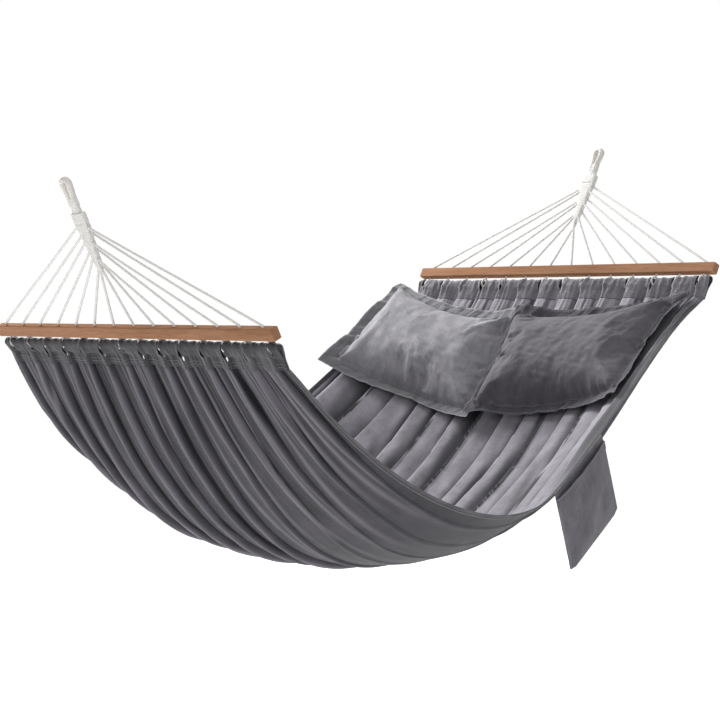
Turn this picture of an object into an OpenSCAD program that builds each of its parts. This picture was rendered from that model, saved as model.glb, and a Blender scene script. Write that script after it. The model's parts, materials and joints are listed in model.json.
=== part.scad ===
// Spreader-bar hammock: a pleated cloth bed between two drilled wooden bars,
// each bar hung by a fan of cords from a woven clew with a served rope loop.
// X runs from the foot to the head, Y across the bed, Z up. Millimetres.

/* [Layout] */
// Distance between the two spreader bars, centre to centre
bar_spacing = 1575; // [1300:5:2000]
// How much higher the head bar hangs than the foot bar
head_rise = 170; // [0:5:260]
// Angle of both harnesses above level
harness_angle = 64; // [50:1:75]

/* [Spreader bars] */
// Length of each wooden spreader bar
bar_length = 1200; // [1180:10:1400]
// Height of a bar along its cord holes
bar_height = 32; // [24:1:44]
// Thickness of a bar across its cord holes
bar_depth = 22; // [16:1:30]
// Flat taken off the bar's long edges
bar_chamfer = 2.5; // [1:0.5:5]
// Distance from one cord hole to the next
cord_pitch = 86.5; // [70:0.5:88]
// Room between a cord and the wall of its hole
hole_clearance = 0.6; // [0.3:0.1:1.5]

/* [Harness] */
// Diameter of one harness cord
cord_d = 6.6; // [4:0.1:7]
// Distance from a bar's centre to the top of its rope loop
loop_reach = 422; // [380:2:560]
// Length of the rope loop from its top to the neck it bends at
loop_length = 84; // [70:2:120]
// Diameter of the served rope of the loop
loop_rope_d = 13; // [10:0.5:16]
// Free width inside the loop at its top
loop_eye = 14; // [10:0.5:24]
// Step from one woven row of the clew to the next
clew_step = 21; // [17:0.5:22]
// Height of one woven row of the clew
clew_row = 8; // [5:0.5:10]
// Thickness of the cloth strip in the middle of the clew
clew_web = 1.2; // [0.8:0.1:2]
// Room left between a cord and the clew that holds it
clew_clearance = 0.3; // [0.2:0.05:0.6]

/* [Bed ends] */
// Distance from a bar's centre to the dowel in the cloth's tunnel
dowel_drop = 38; // [34:1:60]
// Diameter of the hidden dowel
dowel_d = 14; // [10:1:20]
// Distance from a bar's centre to the seam where the bed begins
header_reach = 92; // [86:1:130]
// Thickness of one layer of the tunnel cloth
header_cloth = 1.4; // [1:0.1:2]
// Width of a notch between two tabs, at its open end
notch_width = 20; // [14:1:30]
// Depth of a notch below the top of the tunnel
notch_depth = 44; // [34:1:46]
// Room between sewn cloth and what it wraps
cloth_clearance = 0.4; // [0.3:0.1:0.8]

/* [Bed cloth] */
// Thickness of the bed cloth
bed_cloth = 2.4; // [1.6:0.2:3]
// Half width of the cloth at its gathered ends
end_half = 594; // [575:1:690]
// Extra half width where the pleats have opened, at the middle
mid_spread = 104; // [0:2:130]
// How much the head half is narrower than the foot half
side_skew = 90; // [0:2:110]
// Sag of the side edges below the line between the seams
edge_sag = 432; // [260:4:520]
// Sag of the middle of the cloth below the same line
mid_sag = 612; // [420:4:760]
// Lift of the side edges towards the head
edge_skew = 190; // [0:5:220]
// Lift of the middle of the cloth towards the head
mid_skew = 100; // [0:5:120]
// Roundness of the sagging side edges
edge_power = 1.6; // [1.5:0.05:2.5]
// Roundness of the sagging middle
mid_power = 2.35; // [1.8:0.05:2.8]
// Roundness of the trough across the bed
cross_power = 2.6; // [2:0.1:3.4]
// Depth of the pleats, from the smooth bed to a fold
pleat_depth = 11; // [4:0.5:14]
// Share of the pleats still left at the middle of the bed
pleat_left = 0.5; // [0:0.02:0.7]
// Share of the bed's half length in which the pleats grow to their full depth
pleat_reach = 0.5; // [0.2:0.05:0.9]
// Share of a pleat taken up by its steep side
pleat_lean = 0.12; // [0.08:0.02:0.5]
// Share of the pleats pulled out on the near side, behind the foot
pleat_pulled = 0.85; // [0:0.05:0.95]

/* [Side hems] */
// Width of the binding along both sides
hem_width = 14; // [10:1:20]
// Thickness of the binding cloth
hem_cloth = 1.2; // [0.8:0.1:2]
// Room between the binding and the bed cloth
hem_clearance = 0.7; // [0.6:0.1:1.2]

/* [Pillows] */
// Width of a pillow across the bed, flange included
pillow_width = 620; // [480:4:640]
// Length of a pillow along the bed, flange included
pillow_length = 400; // [300:4:420]
// Distance of the pillows' upper edge from the head seam, along the bed
pillow_top = 22; // [15:1:60]
// Middle of the near pillow, measured from the bed's middle line
near_shift = 266; // [256:2:320]
// Middle of the far pillow, measured from the bed's middle line
far_shift = 356; // [346:2:380]
// How much lower the near pillow lies at the middle of the bed than at its outer end
near_turn = 72; // [0:2:90]
// The same for the far pillow
far_turn = 72; // [0:2:90]
// Height of a filled pillow above the bed
pillow_crown = 118; // [80:2:150]
// Width of the flat flange round a pillow
pillow_flange = 38; // [20:1:50]
// Thickness of the flange
flange_cloth = 4.5; // [4:0.1:6]
// Height of the flange above the bed
flange_height = 20; // [14:1:30]
// How far a pillow's long sides draw in between its corners
pillow_draw = 14; // [0:1:24]
// Rise of the pillows off the bed at the trough's middle
pillow_bridge = 36; // [0:2:60]
// Thickness of the padded pillow cover
cover_cloth = 5; // [4:0.5:7]
// Room between a pillow's filling and its cover
filling_clearance = 0.7; // [0.5:0.1:1.5]
// Rise of the near pillow's flange beside the far pillow
flange_lap = 16; // [0:1:30]
// Rise of the far pillow's outer flange over the side hem
outer_lift = 14; // [8:1:30]

/* [Side pocket] */
// Where the pocket starts along the near edge, as a share of half the bed
pocket_from = 0.04; // [0:0.01:0.15]
// Width of the pocket along its seam
pocket_width = 256; // [160:2:280]
// Length of the pocket's sides
pocket_depth = 214; // [140:2:240]
// Lean of the pocket's sides from plumb, towards the head
pocket_lean = 20; // [0:1:26]
// Thickness of the pocket cloth
pocket_cloth = 1.8; // [1.4:0.1:2.4]
// How far the pocket's front stands out
pocket_belly = 18; // [10:1:30]
// Width of the hem along the pocket's mouth
pocket_hem_width = 22; // [12:1:30]
// Thickness of the hem along the pocket's mouth
pocket_hem_cloth = 1.2; // [0.8:0.1:2]
// Rounding of the pocket's lower corners
pocket_corner = 22; // [10:1:40]
// Height of the pocket's seam above the bed's edge
pocket_lift = 4; // [0:0.5:8]
// Distance of the pocket's mouth below its seam
mouth_drop = 14; // [8:1:24]
// Room between the pocket and the bed's side hem
pocket_clearance = 0.5; // [0.3:0.1:1]

/* [Hidden] */
$fn = 40;
over = 2;
cord_count = 14;
pairs = cord_count / 2;
levels = pairs;
wood = [0.69, 0.49, 0.36];
cotton = [0.86, 0.84, 0.81];
slate = [0.33, 0.32, 0.35];
pale = [0.58, 0.57, 0.6];
mid_grey = [0.44, 0.43, 0.46];

// Places along a harness, measured up from its bar's centre
tilt = 90 - harness_angle;
half_x = bar_spacing / 2;
half_z = head_rise / 2;
hole_d = cord_d + 2 * hole_clearance;
hitch_steps = 5;
hitch_r = (dowel_d / 2 + cord_d / 2 + cloth_clearance) / cos(26);
bend_z = bar_height / 2 + cord_d / 2 + 1.5;
neck_z = loop_reach - loop_length;
ball_r = 9;
ball_clearance = 0.4;
throat_top = neck_z - 12;
throat_length = 24;
throat_cap = 3;
throat_wall = 2.2;
throat_low = throat_top - throat_length;
clew_top = throat_low - 2;
column_step = cord_d + clew_clearance;
layer_x = clew_web / 2 + clew_clearance + cord_d / 2;
window_t = cord_d + 2 * clew_clearance;
ring_wall = 2;
arc_r = (loop_eye + loop_rope_d) / 2;
arc_z = loop_reach - arc_r - loop_rope_d / 2;
leg_y = loop_rope_d / 2 + 0.9;
leg_z = neck_z + ball_r + ball_clearance + 2;
seizing_wall = 2.4;
seizing_low = neck_z + 4;
seizing_top = leg_z + 20;
seat_z = arc_z + loop_eye / 2;

// The bed's ends and its grid
band_t = 2 * header_cloth + bed_cloth + 2 * cloth_clearance;
lip = 2;
seam_overlap = 14;
tunnel_in = dowel_d / 2 + cloth_clearance;
tunnel_out = tunnel_in + header_cloth;
tunnel_top = tunnel_out - dowel_drop;
end_x = half_x - header_reach * sin(tilt);
end_z = -header_reach * cos(tilt);
rows = 9;
row_u = [for (v = [-rows:rows]) sin(90 * v / rows)];
inner_y = [for (i = [0:cord_count - 2]) for (f = [0, pleat_lean, 0.4 + 0.6 * pleat_lean])
    hole_y(i) + f * cord_pitch];
col_y = concat([-end_half, hem_width - end_half], inner_y,
    [hole_y(cord_count - 1), end_half - hem_width, end_half]);
col_t = [for (y = col_y) y / end_half];
last_col = len(col_t) - 1;

// Smooth bed surface: u from foot (-1) to head (1), t from near (-1) to far (1)
function edge_z(u) = edge_skew * u * (1 - u * u) - edge_sag * (1 - pow(abs(u), edge_power));
function mid_z(u) = mid_skew * u * (1 - u * u) - mid_sag * (1 - pow(abs(u), mid_power));
function half_w(u) = end_half + (mid_spread - side_skew * u) * (1 - u * u);
function base(u, t) = [
    end_x * u,
    t * half_w(u),
    end_z + half_z * u + edge_z(u) + (mid_z(u) - edge_z(u)) * (1 - pow(abs(t), cross_power))];
function unit(v) = v / norm(v);
function along(u, t) = base(min(u + 0.004, 1), t) - base(max(u - 0.004, -1), t);
function across(u, t) = base(u, min(t + 0.004, 1)) - base(u, max(t - 0.004, -1));
function end_up(side) = [-side * cos(tilt), 0, sin(tilt)];
function up(u, t) = abs(u) > 0.9999 ? end_up(sign(u)) : unit(cross(along(u, t), across(u, t)));

// Knife pleats: a crest behind each cord, a steep side and a long one, fading to the middle
function ease(x, a, b) = let (v = min(1, max(0, (x - a) / (b - a)))) v * v * (3 - 2 * v);
function zigzag(q) = let (f = q - floor(q + 0.0001))
    f < pleat_lean ? 1 - 2 * f / pleat_lean : 1 - 2 * pow((1 - f) / (1 - pleat_lean), 2.2);
function swell(u) = min(1, (1 - abs(u)) / 0.05)
    * (pleat_left + (1 - pleat_left) * ease(abs(u), 0, pleat_reach));
// The pleats are pulled out from the middle line to the near side, behind the foot and before the middle
pull_side = [0.05, 0.55];
pull_foot = [-0.95, -0.6];
pull_middle = [-0.25, 0.15];
function pulled(u, t) = pleat_pulled * ease(-t, pull_side[0], pull_side[1])
    * ease(u, pull_foot[0], pull_foot[1]) * ease(-u, pull_middle[0], pull_middle[1]);
function pleat(u, t) = pleat_depth * swell(u) * (1 - pulled(u, t)) * (1 - ease(abs(t), 0.93, 1))
    * zigzag(t * end_half / cord_pitch - 0.5);
function bed(u, t, h) = base(u, t) + up(u, t) * (pleat(u, t) + h);
function tucked(side, t, h) = [
    side * (end_x + seam_overlap * sin(tilt)),
    t * end_half,
    end_z + side * half_z + seam_overlap * cos(tilt)] + end_up(side) * h;

// Faces of a closed two-sided skin and of a closed swept outline
function skin_faces(m, n) = let (w = n + 1, k = (m + 1) * (n + 1)) concat(
    [for (i = [0:m - 1]) for (j = [0:n - 1]) for (f = [0, 1]) f == 0
        ? [i * w + j, i * w + j + 1, (i + 1) * w + j + 1]
        : [i * w + j, (i + 1) * w + j + 1, (i + 1) * w + j]],
    [for (i = [0:m - 1]) for (j = [0:n - 1]) for (f = [0, 1]) f == 0
        ? [k + (i + 1) * w + j + 1, k + i * w + j + 1, k + i * w + j]
        : [k + (i + 1) * w + j, k + (i + 1) * w + j + 1, k + i * w + j]],
    [for (i = [0:m - 1]) for (f = [0, 1]) f == 0
        ? [i * w, (i + 1) * w, k + (i + 1) * w]
        : [i * w, k + (i + 1) * w, k + i * w]],
    [for (i = [0:m - 1]) for (f = [0, 1]) f == 0
        ? [i * w + n, k + i * w + n, k + (i + 1) * w + n]
        : [i * w + n, k + (i + 1) * w + n, (i + 1) * w + n]],
    [for (j = [0:n - 1]) for (f = [0, 1]) f == 0
        ? [j + 1, j, k + j]
        : [j + 1, k + j, k + j + 1]],
    [for (j = [0:n - 1]) for (f = [0, 1]) f == 0
        ? [m * w + j, m * w + j + 1, k + m * w + j + 1]
        : [m * w + j, k + m * w + j + 1, k + m * w + j]]);
function flat(rows_of_points) = [for (r = rows_of_points) for (p = r) p];

module skin(top, bottom) {
    polyhedron(points = concat(flat(top), flat(bottom)),
        faces = skin_faces(len(top) - 1, len(top[0]) - 1), convexity = 8);
}

cap_faces = [[0, 1, 6], [0, 6, 7], [1, 2, 5], [1, 5, 6], [2, 3, 4], [2, 4, 5]];
function binding_cap(o, flip) = [for (f = cap_faces)
    flip ? [o + f[2], o + f[1], o + f[0]] : [o + f[0], o + f[1], o + f[2]]];
function binding_faces(m, near) = concat(
    binding_cap(0, !near),
    binding_cap(m * 8, near),
    [for (i = [0:m - 1]) for (j = [0:7]) for (f = [0, 1]) let (
        a = i * 8 + j, b = i * 8 + (j + 1) % 8, c = a + 8, d = b + 8)
        near
            ? (j == 4 ? (f == 0 ? [a, c, b] : [b, c, d]) : (f == 0 ? [a, d, b] : [a, c, d]))
            : (j == 6 ? (f == 0 ? [a, b, c] : [b, d, c]) : (f == 0 ? [a, b, d] : [a, d, c]))]);

// One end's frame: local Z climbs the harness from the bar's centre
module end_frame(side) {
    translate([side * half_x, 0, side * half_z]) rotate([0, side * tilt, 0]) children();
}

// Brings the seat of the head loop to the origin
module from_head_hook() {
    translate([-half_x - seat_z * sin(tilt), 0, -half_z - seat_z * cos(tilt)]) children();
}

// A tube swept along its own points, with two points at each bend
function bend(p, at, n, r) = [at + unit(p - at) * r, at + unit(n - at) * r];
function tangent(path, i) = unit(
    (i == 0 ? [0, 0, 0] : unit(path[i] - path[i - 1]))
    + (i == len(path) - 1 ? [0, 0, 0] : unit(path[i + 1] - path[i])));
function carry(n, path, i) = i == len(path) ? [] : let (
    t = tangent(path, i), m = unit(n - (n * t) * t)) concat([m], carry(m, path, i + 1));
function tube_faces(m, n) = concat(
    [for (i = [0:m - 2]) for (j = [0:n - 1]) for (f = [0, 1]) let (
        a = i * n + j, b = i * n + (j + 1) % n, c = a + n, d = b + n)
        f == 0 ? [a, c, d] : [a, d, b]],
    [for (j = [1:n - 2]) [0, j, j + 1]],
    [for (j = [1:n - 2]) let (o = (m - 1) * n) [o, o + j + 1, o + j]]);

module tube(path, d, sides, start) {
    normals = carry(start, path, 0);
    polyhedron(points = [for (i = [0:len(path) - 1])
            let (n = normals[i], b = cross(tangent(path, i), n))
            for (j = [0:sides - 1]) path[i] + d / 2 * (cos(360 * (j + 0.5) / sides) * n
            + sin(360 * (j + 0.5) / sides) * b)],
        faces = tube_faces(len(path), sides), convexity = 8);
}

module rounded(t, w, r) {
    square([t - 2 * r, w], center = true);
    square([t, w - 2 * r], center = true);
    for (x = [-1, 1]) {
        for (y = [-1, 1]) {
            translate([x * (t / 2 - r), y * (w / 2 - r)]) circle(r = r);
        }
    }
}

function hole_y(i) = (i - (cord_count - 1) / 2) * cord_pitch;
function pair(i) = min(i, cord_count - 1 - i);
function hand(i) = i < pairs ? -1 : 1;
function column(k) = ceil((pairs - 1 - k) / 2);
function layer(i) = pair(i) == pairs - 1 ? hand(i) : 1 - 2 * (pair(i) % 2);
function row_top(k) = clew_top - k * clew_step;
function leave_z(k) = row_top(k) - clew_row - cord_d / 2 - 0.6;
function window_w(k) = 2 * column(k) * column_step + window_t;

module spreader_bar(side) {
    c = bar_chamfer;
    d = bar_depth / 2;
    h = bar_height / 2;
    w = bar_length / 2;
    end_frame(side) {
        difference() {
            intersection() {
                rotate([90, 0, 0]) linear_extrude(height = bar_length, center = true) {
                    polygon([[-d + c, -h], [d - c, -h], [d, -h + c], [d, h - c],
                        [d - c, h], [-d + c, h], [-d, h - c], [-d, -h + c]]);
                }
                rotate([90, 0, 90]) linear_extrude(height = bar_depth + over, center = true) {
                    polygon([[-w + c, -h], [w - c, -h], [w, -h + c], [w, h - c],
                        [w - c, h], [-w + c, h], [-w, h - c], [-w, -h + c]]);
                }
            }
            for (i = [0:cord_count - 1]) {
                translate([0, hole_y(i), 0]) cylinder(d = hole_d, h = bar_height + over, center = true);
            }
        }
    }
}

module dowel(side) {
    end_frame(side) translate([0, 0, -dowel_drop]) rotate([90, 0, 0]) {
        cylinder(d = dowel_d, h = 2 * end_half - 6, center = true);
    }
}

// One cord: from the throat, out of its clew row, through its hole, hitched on the dowel
function hitch_at(side, a) = [side * hitch_r * sin(a), 0, hitch_r * cos(a) - dowel_drop];
module cord(side, i) {
    k = pair(i);
    y = [0, hole_y(i), 0];
    top = [side * layer(i) * layer_x, hand(i) * column(k) * column_step, throat_top - throat_cap - 0.6];
    out = [top[0], top[1], leave_z(k)];
    mouth = [0, hole_y(i), bend_z];
    low = [0, hole_y(i), -bend_z];
    first = acos(hitch_r / (dowel_drop - bend_z));
    turn = [for (j = [0:hitch_steps]) y + hitch_at(side, first + j * (360 - 2 * first) / hitch_steps)];
    tail = y + [-side * (cord_d * 0.5 + 2), 0, -bend_z - cord_d];
    path = concat([top], bend(top, out, mouth, 2.5), bend(out, mouth, low, 3),
        bend(mouth, low, turn[0], 2), turn, [tail]);
    end_frame(side) tube(path, cord_d, 8, [1, 0, 0]);
}

// Woven rows round the cords, joined by a strip that runs up between the layers
module clew(side) {
    end_frame(side) {
        for (k = [0:levels - 1]) {
            translate([0, 0, row_top(k) - clew_row]) linear_extrude(height = clew_row) difference() {
                rounded(2 * layer_x + window_t + 2 * ring_wall, window_w(k) + 2 * ring_wall, 3);
                for (s = [-1, 1]) {
                    translate([s * layer_x, 0]) square([window_t, window_w(k)], center = true);
                }
            }
        }
        for (k = [0:levels - 2]) {
            translate([-clew_web / 2, -window_w(k + 1) / 2, row_top(k + 1) - 0.5]) {
                cube([clew_web, window_w(k + 1), clew_step - clew_row + 1]);
            }
        }
        translate([-clew_web / 2, -window_w(0) / 2, clew_top - 0.5]) {
            cube([clew_web, window_w(0), throat_top - throat_cap - 0.6 - clew_top]);
        }
    }
}

// Whipped throat: closes over the cord ends and carries the ball the loop bends on
module throat(side) {
    t = 2 * layer_x + window_t;
    w = window_w(0);
    end_frame(side) {
        difference() {
            union() {
                translate([0, 0, throat_low]) linear_extrude(height = throat_length) {
                    rounded(t + 2 * throat_wall, w + 2 * throat_wall, 4);
                }
                translate([0, 0, throat_top - 0.5]) cylinder(r = ball_r - 1.5, h = neck_z - throat_top);
                translate([0, 0, neck_z]) sphere(r = ball_r);
            }
            translate([0, 0, throat_low - over]) {
                linear_extrude(height = throat_length - throat_cap + over) rounded(t, w, 2);
            }
        }
    }
}

// Served rope loop: an eye whose two legs draw together into the seizing
module rope_loop(side) {
    low = [0, leg_y, leg_z];
    knee = [0, leg_y, seizing_top];
    shoulder = [0, arc_r, arc_z];
    half = concat([low], bend(low, knee, shoulder, 3), [shoulder]);
    arc = [for (j = [1:8]) [0, arc_r * cos(20 * j), arc_z + arc_r * sin(20 * j)]];
    other = [for (j = [len(half) - 1:-1:0]) [half[j][0], -half[j][1], half[j][2]]];
    end_frame(side) tube(concat(half, arc, other), loop_rope_d, 12, [1, 0, 0]);
}

// Seizing: binds the loop's legs side by side and seats the ball of the throat
module seizing(side) {
    end_frame(side) {
        difference() {
            translate([0, 0, seizing_low]) linear_extrude(height = seizing_top - seizing_low - 4) {
                rounded(loop_rope_d + 2 * seizing_wall, 2 * leg_y + loop_rope_d + 2 * seizing_wall, 6);
            }
            for (s = [-1, 1]) {
                translate([0, s * leg_y, leg_z - clew_clearance]) {
                    cylinder(d = loop_rope_d + 2 * clew_clearance, h = loop_length);
                }
            }
            translate([0, 0, neck_z]) sphere(r = ball_r + ball_clearance);
        }
    }
}

// Tunnel cloth: notched tabs round the dowel and a seam band that takes the bed's end
module header(side) {
    b = band_t / 2;
    low = lip - header_reach;
    neck = -dowel_drop - tunnel_out - 8;
    end_frame(side) {
        difference() {
            union() {
                translate([0, 0, -dowel_drop]) rotate([90, 0, 0]) {
                    cylinder(r = tunnel_out, h = 2 * end_half, center = true);
                }
                rotate([90, 0, 0]) linear_extrude(height = 2 * end_half, center = true) {
                    polygon([[-tunnel_out * 0.75, -dowel_drop - tunnel_out * 0.62],
                        [tunnel_out * 0.75, -dowel_drop - tunnel_out * 0.62],
                        [b, neck], [b, low], [-b, low], [-b, neck]]);
                }
            }
            translate([0, 0, -dowel_drop]) rotate([90, 0, 0]) {
                cylinder(r = tunnel_in, h = 2 * end_half + over, center = true);
            }
            translate([header_cloth - b, -end_half - over, low - over]) {
                cube([band_t - 2 * header_cloth, 2 * (end_half + over),
                    seam_overlap + over + cloth_clearance]);
            }
            for (i = [0:cord_count - 1]) {
                translate([0, hole_y(i), tunnel_top]) rotate([90, 0, 90]) {
                    linear_extrude(height = 4 * tunnel_out, center = true) {
                        polygon([[-notch_width / 2, over], [notch_width / 2, over],
                            [notch_width / 2, -2 * tunnel_out], [3, -notch_depth],
                            [-3, -notch_depth], [-notch_width / 2, -2 * tunnel_out]]);
                    }
                }
            }
        }
    }
}

module bed_cloth_sheet() {
    h = bed_cloth / 2;
    skin(concat([[for (t = col_t) tucked(-1, t, h)]],
            [for (u = row_u) [for (t = col_t) bed(u, t, h)]],
            [[for (t = col_t) tucked(1, t, h)]]),
        concat([[for (t = col_t) tucked(-1, t, -h)]],
            [for (u = row_u) [for (t = col_t) bed(u, t, -h)]],
            [[for (t = col_t) tucked(1, t, -h)]]));
}

// Folded binding along one side, on the bed's own rows
function hem_t(side) = side < 0 ? col_t[1] : col_t[last_col - 1];
function hem_out(u, side) = unit(bed(u, side, 0) - bed(u, hem_t(side), 0));
function hem_at(u, side, q) = q[0] < 0 ? bed(u, hem_t(side), q[1])
    : bed(u, side, q[1]) + hem_out(u, side) * q[0];
module side_hem(side) {
    s = bed_cloth / 2 + hem_clearance;
    o = s + hem_cloth;
    e = cloth_clearance + hem_cloth;
    outline = [[-1, o], [e, o], [e, -o], [-1, -o],
        [-1, -s], [cloth_clearance, -s], [cloth_clearance, s], [-1, s]];
    stations = [for (r = [1:2 * rows - 1]) row_u[r]];
    polyhedron(points = [for (u = stations) for (q = outline) hem_at(u, side, q)],
        faces = binding_faces(len(stations) - 1, side < 0), convexity = 8);
}

// Pillows: a from near to far, b from low to high, h above the smooth bed
pillow_gap = pleat_depth + 2;
function head_run(t) = norm(base(1, t) - base(0.6, t)) / 0.4;
function over(u, t) = unit(cross(base(u + 0.004, t) - base(u - 0.004, t),
    base(u, t + 0.004) - base(u, t - 0.004)));
flange_a = 1 - 2 * pillow_flange / pillow_width;
flange_b = 1 - 2 * pillow_flange / pillow_length;
pillow_a = concat([-1], [for (j = [-6:6]) flange_a * sin(90 * j / 6)], [1]);
pillow_b = concat([-1], [for (j = [-5:5]) flange_b * sin(90 * j / 5)], [1]);
inner_a = [for (j = [-6:6]) 0.95 * flange_a * sin(90 * j / 6)];
inner_b = [for (j = [-5:5]) 0.93 * flange_b * sin(90 * j / 5)];
function inset(v, by) = [for (j = [0:len(v) - 1]) j == 0 ? v[0] + by : j == len(v) - 1 ? v[j] - by : v[j]];
function clip(v) = min(1, abs(v));
function puff(a, b) = pow((1 - pow(clip(a / flange_a), 2.4)) * (1 - pow(clip(b / flange_b), 2.4)), 0.55);
function pucker(a, b) = max(clip(a) > flange_a + 0.01 ? 1 : 0, clip(b) > flange_b + 0.01 ? 1 : 0)
    * 2.5 * sin(900 * a + 700 * b);
function pillow_y(near, a, b) = (near ? -near_shift : far_shift)
    + a * (pillow_width / 2 - pillow_draw * (1 - b * b));
function pillow_u(near, a, b) = 1 - (pillow_top + pillow_length / 2
    + a * (near ? near_turn : -far_turn) / 2 - b * (pillow_length / 2 - pillow_draw * (1 - a * a)))
    / head_run(pillow_y(near, a, b) / end_half);
function bridge(t) = pillow_bridge * pow(max(0, 1 - abs(t) / 0.5), 2);
function lap(near, a) = (near ? flange_lap : outer_lift) * pow(max(0, (a - 0.4) / 0.6), 2);
function pillow_at(near, a, b, h) = let (u = pillow_u(near, a, b), t = pillow_y(near, a, b) / half_w(u))
    base(u, t) + over(u, t) * (pillow_gap + bridge(t) + h);
function cover_top(near, a, b) = flange_height + flange_cloth / 2 + pucker(a, b) + lap(near, a)
    + (pillow_crown - flange_height - flange_cloth / 2) * puff(a, b);
function cover_low(near, a, b) = pucker(a, b)
    + (flange_height - flange_cloth / 2 + lap(near, a)) * (1 - pow(puff(a, b), 0.5));

module pillow_solid(near, av, bv, shrink) {
    skin([for (b = bv) [for (a = av) pillow_at(near, a, b, cover_top(near, a, b) - shrink)]],
        [for (b = bv) [for (a = av) pillow_at(near, a, b, cover_low(near, a, b) + shrink)]]);
}

module pillow_cover(near) {
    difference() {
        pillow_solid(near, pillow_a, pillow_b, 0);
        pillow_solid(near, inner_a, inner_b, cover_cloth);
    }
}

module pillow_filling(near) {
    pillow_solid(near, inset(inner_a, 0.006), inset(inner_b, 0.008), cover_cloth + filling_clearance);
}

// Side pocket: hangs plumb under a straight seam beside the near edge
seam_a = bed(pocket_from, -1, 0);
seam_b = bed(pocket_from + 0.84 * pocket_width / end_x, -1, 0);
seam_dir = unit(seam_b - seam_a);
seam_flat = unit([seam_dir[0], seam_dir[1], 0]);
seam_out = [seam_flat[1], -seam_flat[0], 0];
hem_reach = cloth_clearance + hem_cloth + 0.6 * (bed_cloth / 2 + hem_clearance + hem_cloth);
seam_rows = [for (r = [rows:2 * rows - 1]) if (row_u[r] < pocket_from + pocket_width / end_x) row_u[r]];
seam_bow = max(concat([0], [for (u = seam_rows) (bed(u, -1, 0) - seam_a) * seam_out]));
seam_off = seam_bow + hem_reach + pocket_clearance + pocket_cloth / 2;
pocket_top = seam_a + seam_out * seam_off + [0, 0, pocket_lift];
pocket_down = seam_flat * sin(pocket_lean) - [0, 0, cos(pocket_lean)];
function pocket_at(s, d, o) = pocket_top + seam_dir * s + pocket_down * d + seam_out * o;
function belly(s, d) = pocket_belly * (1 - pow(abs(2 * s / pocket_width - 1), 2.2))
    * (0.62 + 0.38 * sin(90 * min(1, d / (0.62 * pocket_depth))))
    * (1 - pow(max(0, d / pocket_depth), 6));
pocket_s = [for (j = [0:10]) pocket_width * (0.5 - 0.5 * cos(18 * j))];
pocket_d = [for (j = [10:-1:0]) mouth_drop + (pocket_depth - mouth_drop) * sin(9 * j)];
function corner(s, d) = let (r = pocket_corner, x = min(s, pocket_width - s), y = pocket_depth - d)
    (x < r && y < r) ? (r - x) * (r - y) / r * 0.32 : 0;

module pocket_back_panel() {
    t = pocket_cloth / 2;
    sv = pocket_s;
    dv = [for (j = [6:-1:0]) pocket_depth * sin(15 * j)];
    skin([for (s = sv) [for (d = dv) pocket_at(s, d - corner(s, d), t)]],
        [for (s = sv) [for (d = dv) pocket_at(s, d - corner(s, d), -t)]]);
}

module pocket_front_panel() {
    t0 = pocket_cloth / 2 + cloth_clearance;
    skin([for (s = pocket_s) [for (d = pocket_d)
            pocket_at(s, d - corner(s, d), t0 + pocket_cloth + belly(s, d))]],
        [for (s = pocket_s) [for (d = pocket_d)
            pocket_at(s, d - corner(s, d), t0 + belly(s, d))]]);
}

module pocket_mouth_hem() {
    t1 = pocket_cloth * 1.5 + 2 * cloth_clearance + pocket_clearance;
    t2 = t1 + pocket_hem_cloth;
    dv = [for (j = [2:-1:0]) mouth_drop + pocket_hem_width * j / 2];
    skin([for (s = pocket_s) [for (d = dv) pocket_at(s, d, t2 + belly(s, d))]],
        [for (s = pocket_s) [for (d = dv) pocket_at(s, d, t1 + belly(s, d))]]);
}

module foot_bar() { color(wood) spreader_bar(-1); }
module head_bar() { color(wood) spreader_bar(1); }
module foot_dowel() { color(wood) dowel(-1); }
module head_dowel() { color(wood) dowel(1); }
module foot_cord(i) { color(cotton) cord(-1, i); }
module head_cord(i) { color(cotton) cord(1, i); }
module foot_clew() { color(cotton) clew(-1); }
module head_clew() { color(cotton) clew(1); }
module foot_throat() { color(cotton) throat(-1); }
module head_throat() { color(cotton) throat(1); }
module foot_loop() { color(cotton) rope_loop(-1); }
module head_loop() { color(cotton) rope_loop(1); }
module foot_seizing() { color(cotton) seizing(-1); }
module head_seizing() { color(cotton) seizing(1); }
module foot_header() { color(slate) header(-1); }
module head_header() { color(slate) header(1); }
module bed_sheet() { color(slate) bed_cloth_sheet(); }
module near_hem() { color(slate) side_hem(-1); }
module far_hem() { color(slate) side_hem(1); }
module far_pillow_cover() { color(pale) pillow_cover(false); }
module far_pillow_filling() { color(cotton) pillow_filling(false); }
module near_pillow_cover() { color(mid_grey) pillow_cover(true); }
module near_pillow_filling() { color(cotton) pillow_filling(true); }
module pocket_back() { color(slate) pocket_back_panel(); }
module pocket_front() { color(slate) pocket_front_panel(); }
module pocket_hem() { color(slate) pocket_mouth_hem(); }

from_head_hook() foot_bar();
from_head_hook() head_bar();
from_head_hook() foot_dowel();
from_head_hook() head_dowel();
from_head_hook() foot_cord(0);  // foot_cord_01
from_head_hook() foot_cord(1);  // foot_cord_02
from_head_hook() foot_cord(2);  // foot_cord_03
from_head_hook() foot_cord(3);  // foot_cord_04
from_head_hook() foot_cord(4);  // foot_cord_05
from_head_hook() foot_cord(5);  // foot_cord_06
from_head_hook() foot_cord(6);  // foot_cord_07
from_head_hook() foot_cord(7);  // foot_cord_08
from_head_hook() foot_cord(8);  // foot_cord_09
from_head_hook() foot_cord(9);  // foot_cord_10
from_head_hook() foot_cord(10);  // foot_cord_11
from_head_hook() foot_cord(11);  // foot_cord_12
from_head_hook() foot_cord(12);  // foot_cord_13
from_head_hook() foot_cord(13);  // foot_cord_14
from_head_hook() head_cord(0);  // head_cord_01
from_head_hook() head_cord(1);  // head_cord_02
from_head_hook() head_cord(2);  // head_cord_03
from_head_hook() head_cord(3);  // head_cord_04
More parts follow.
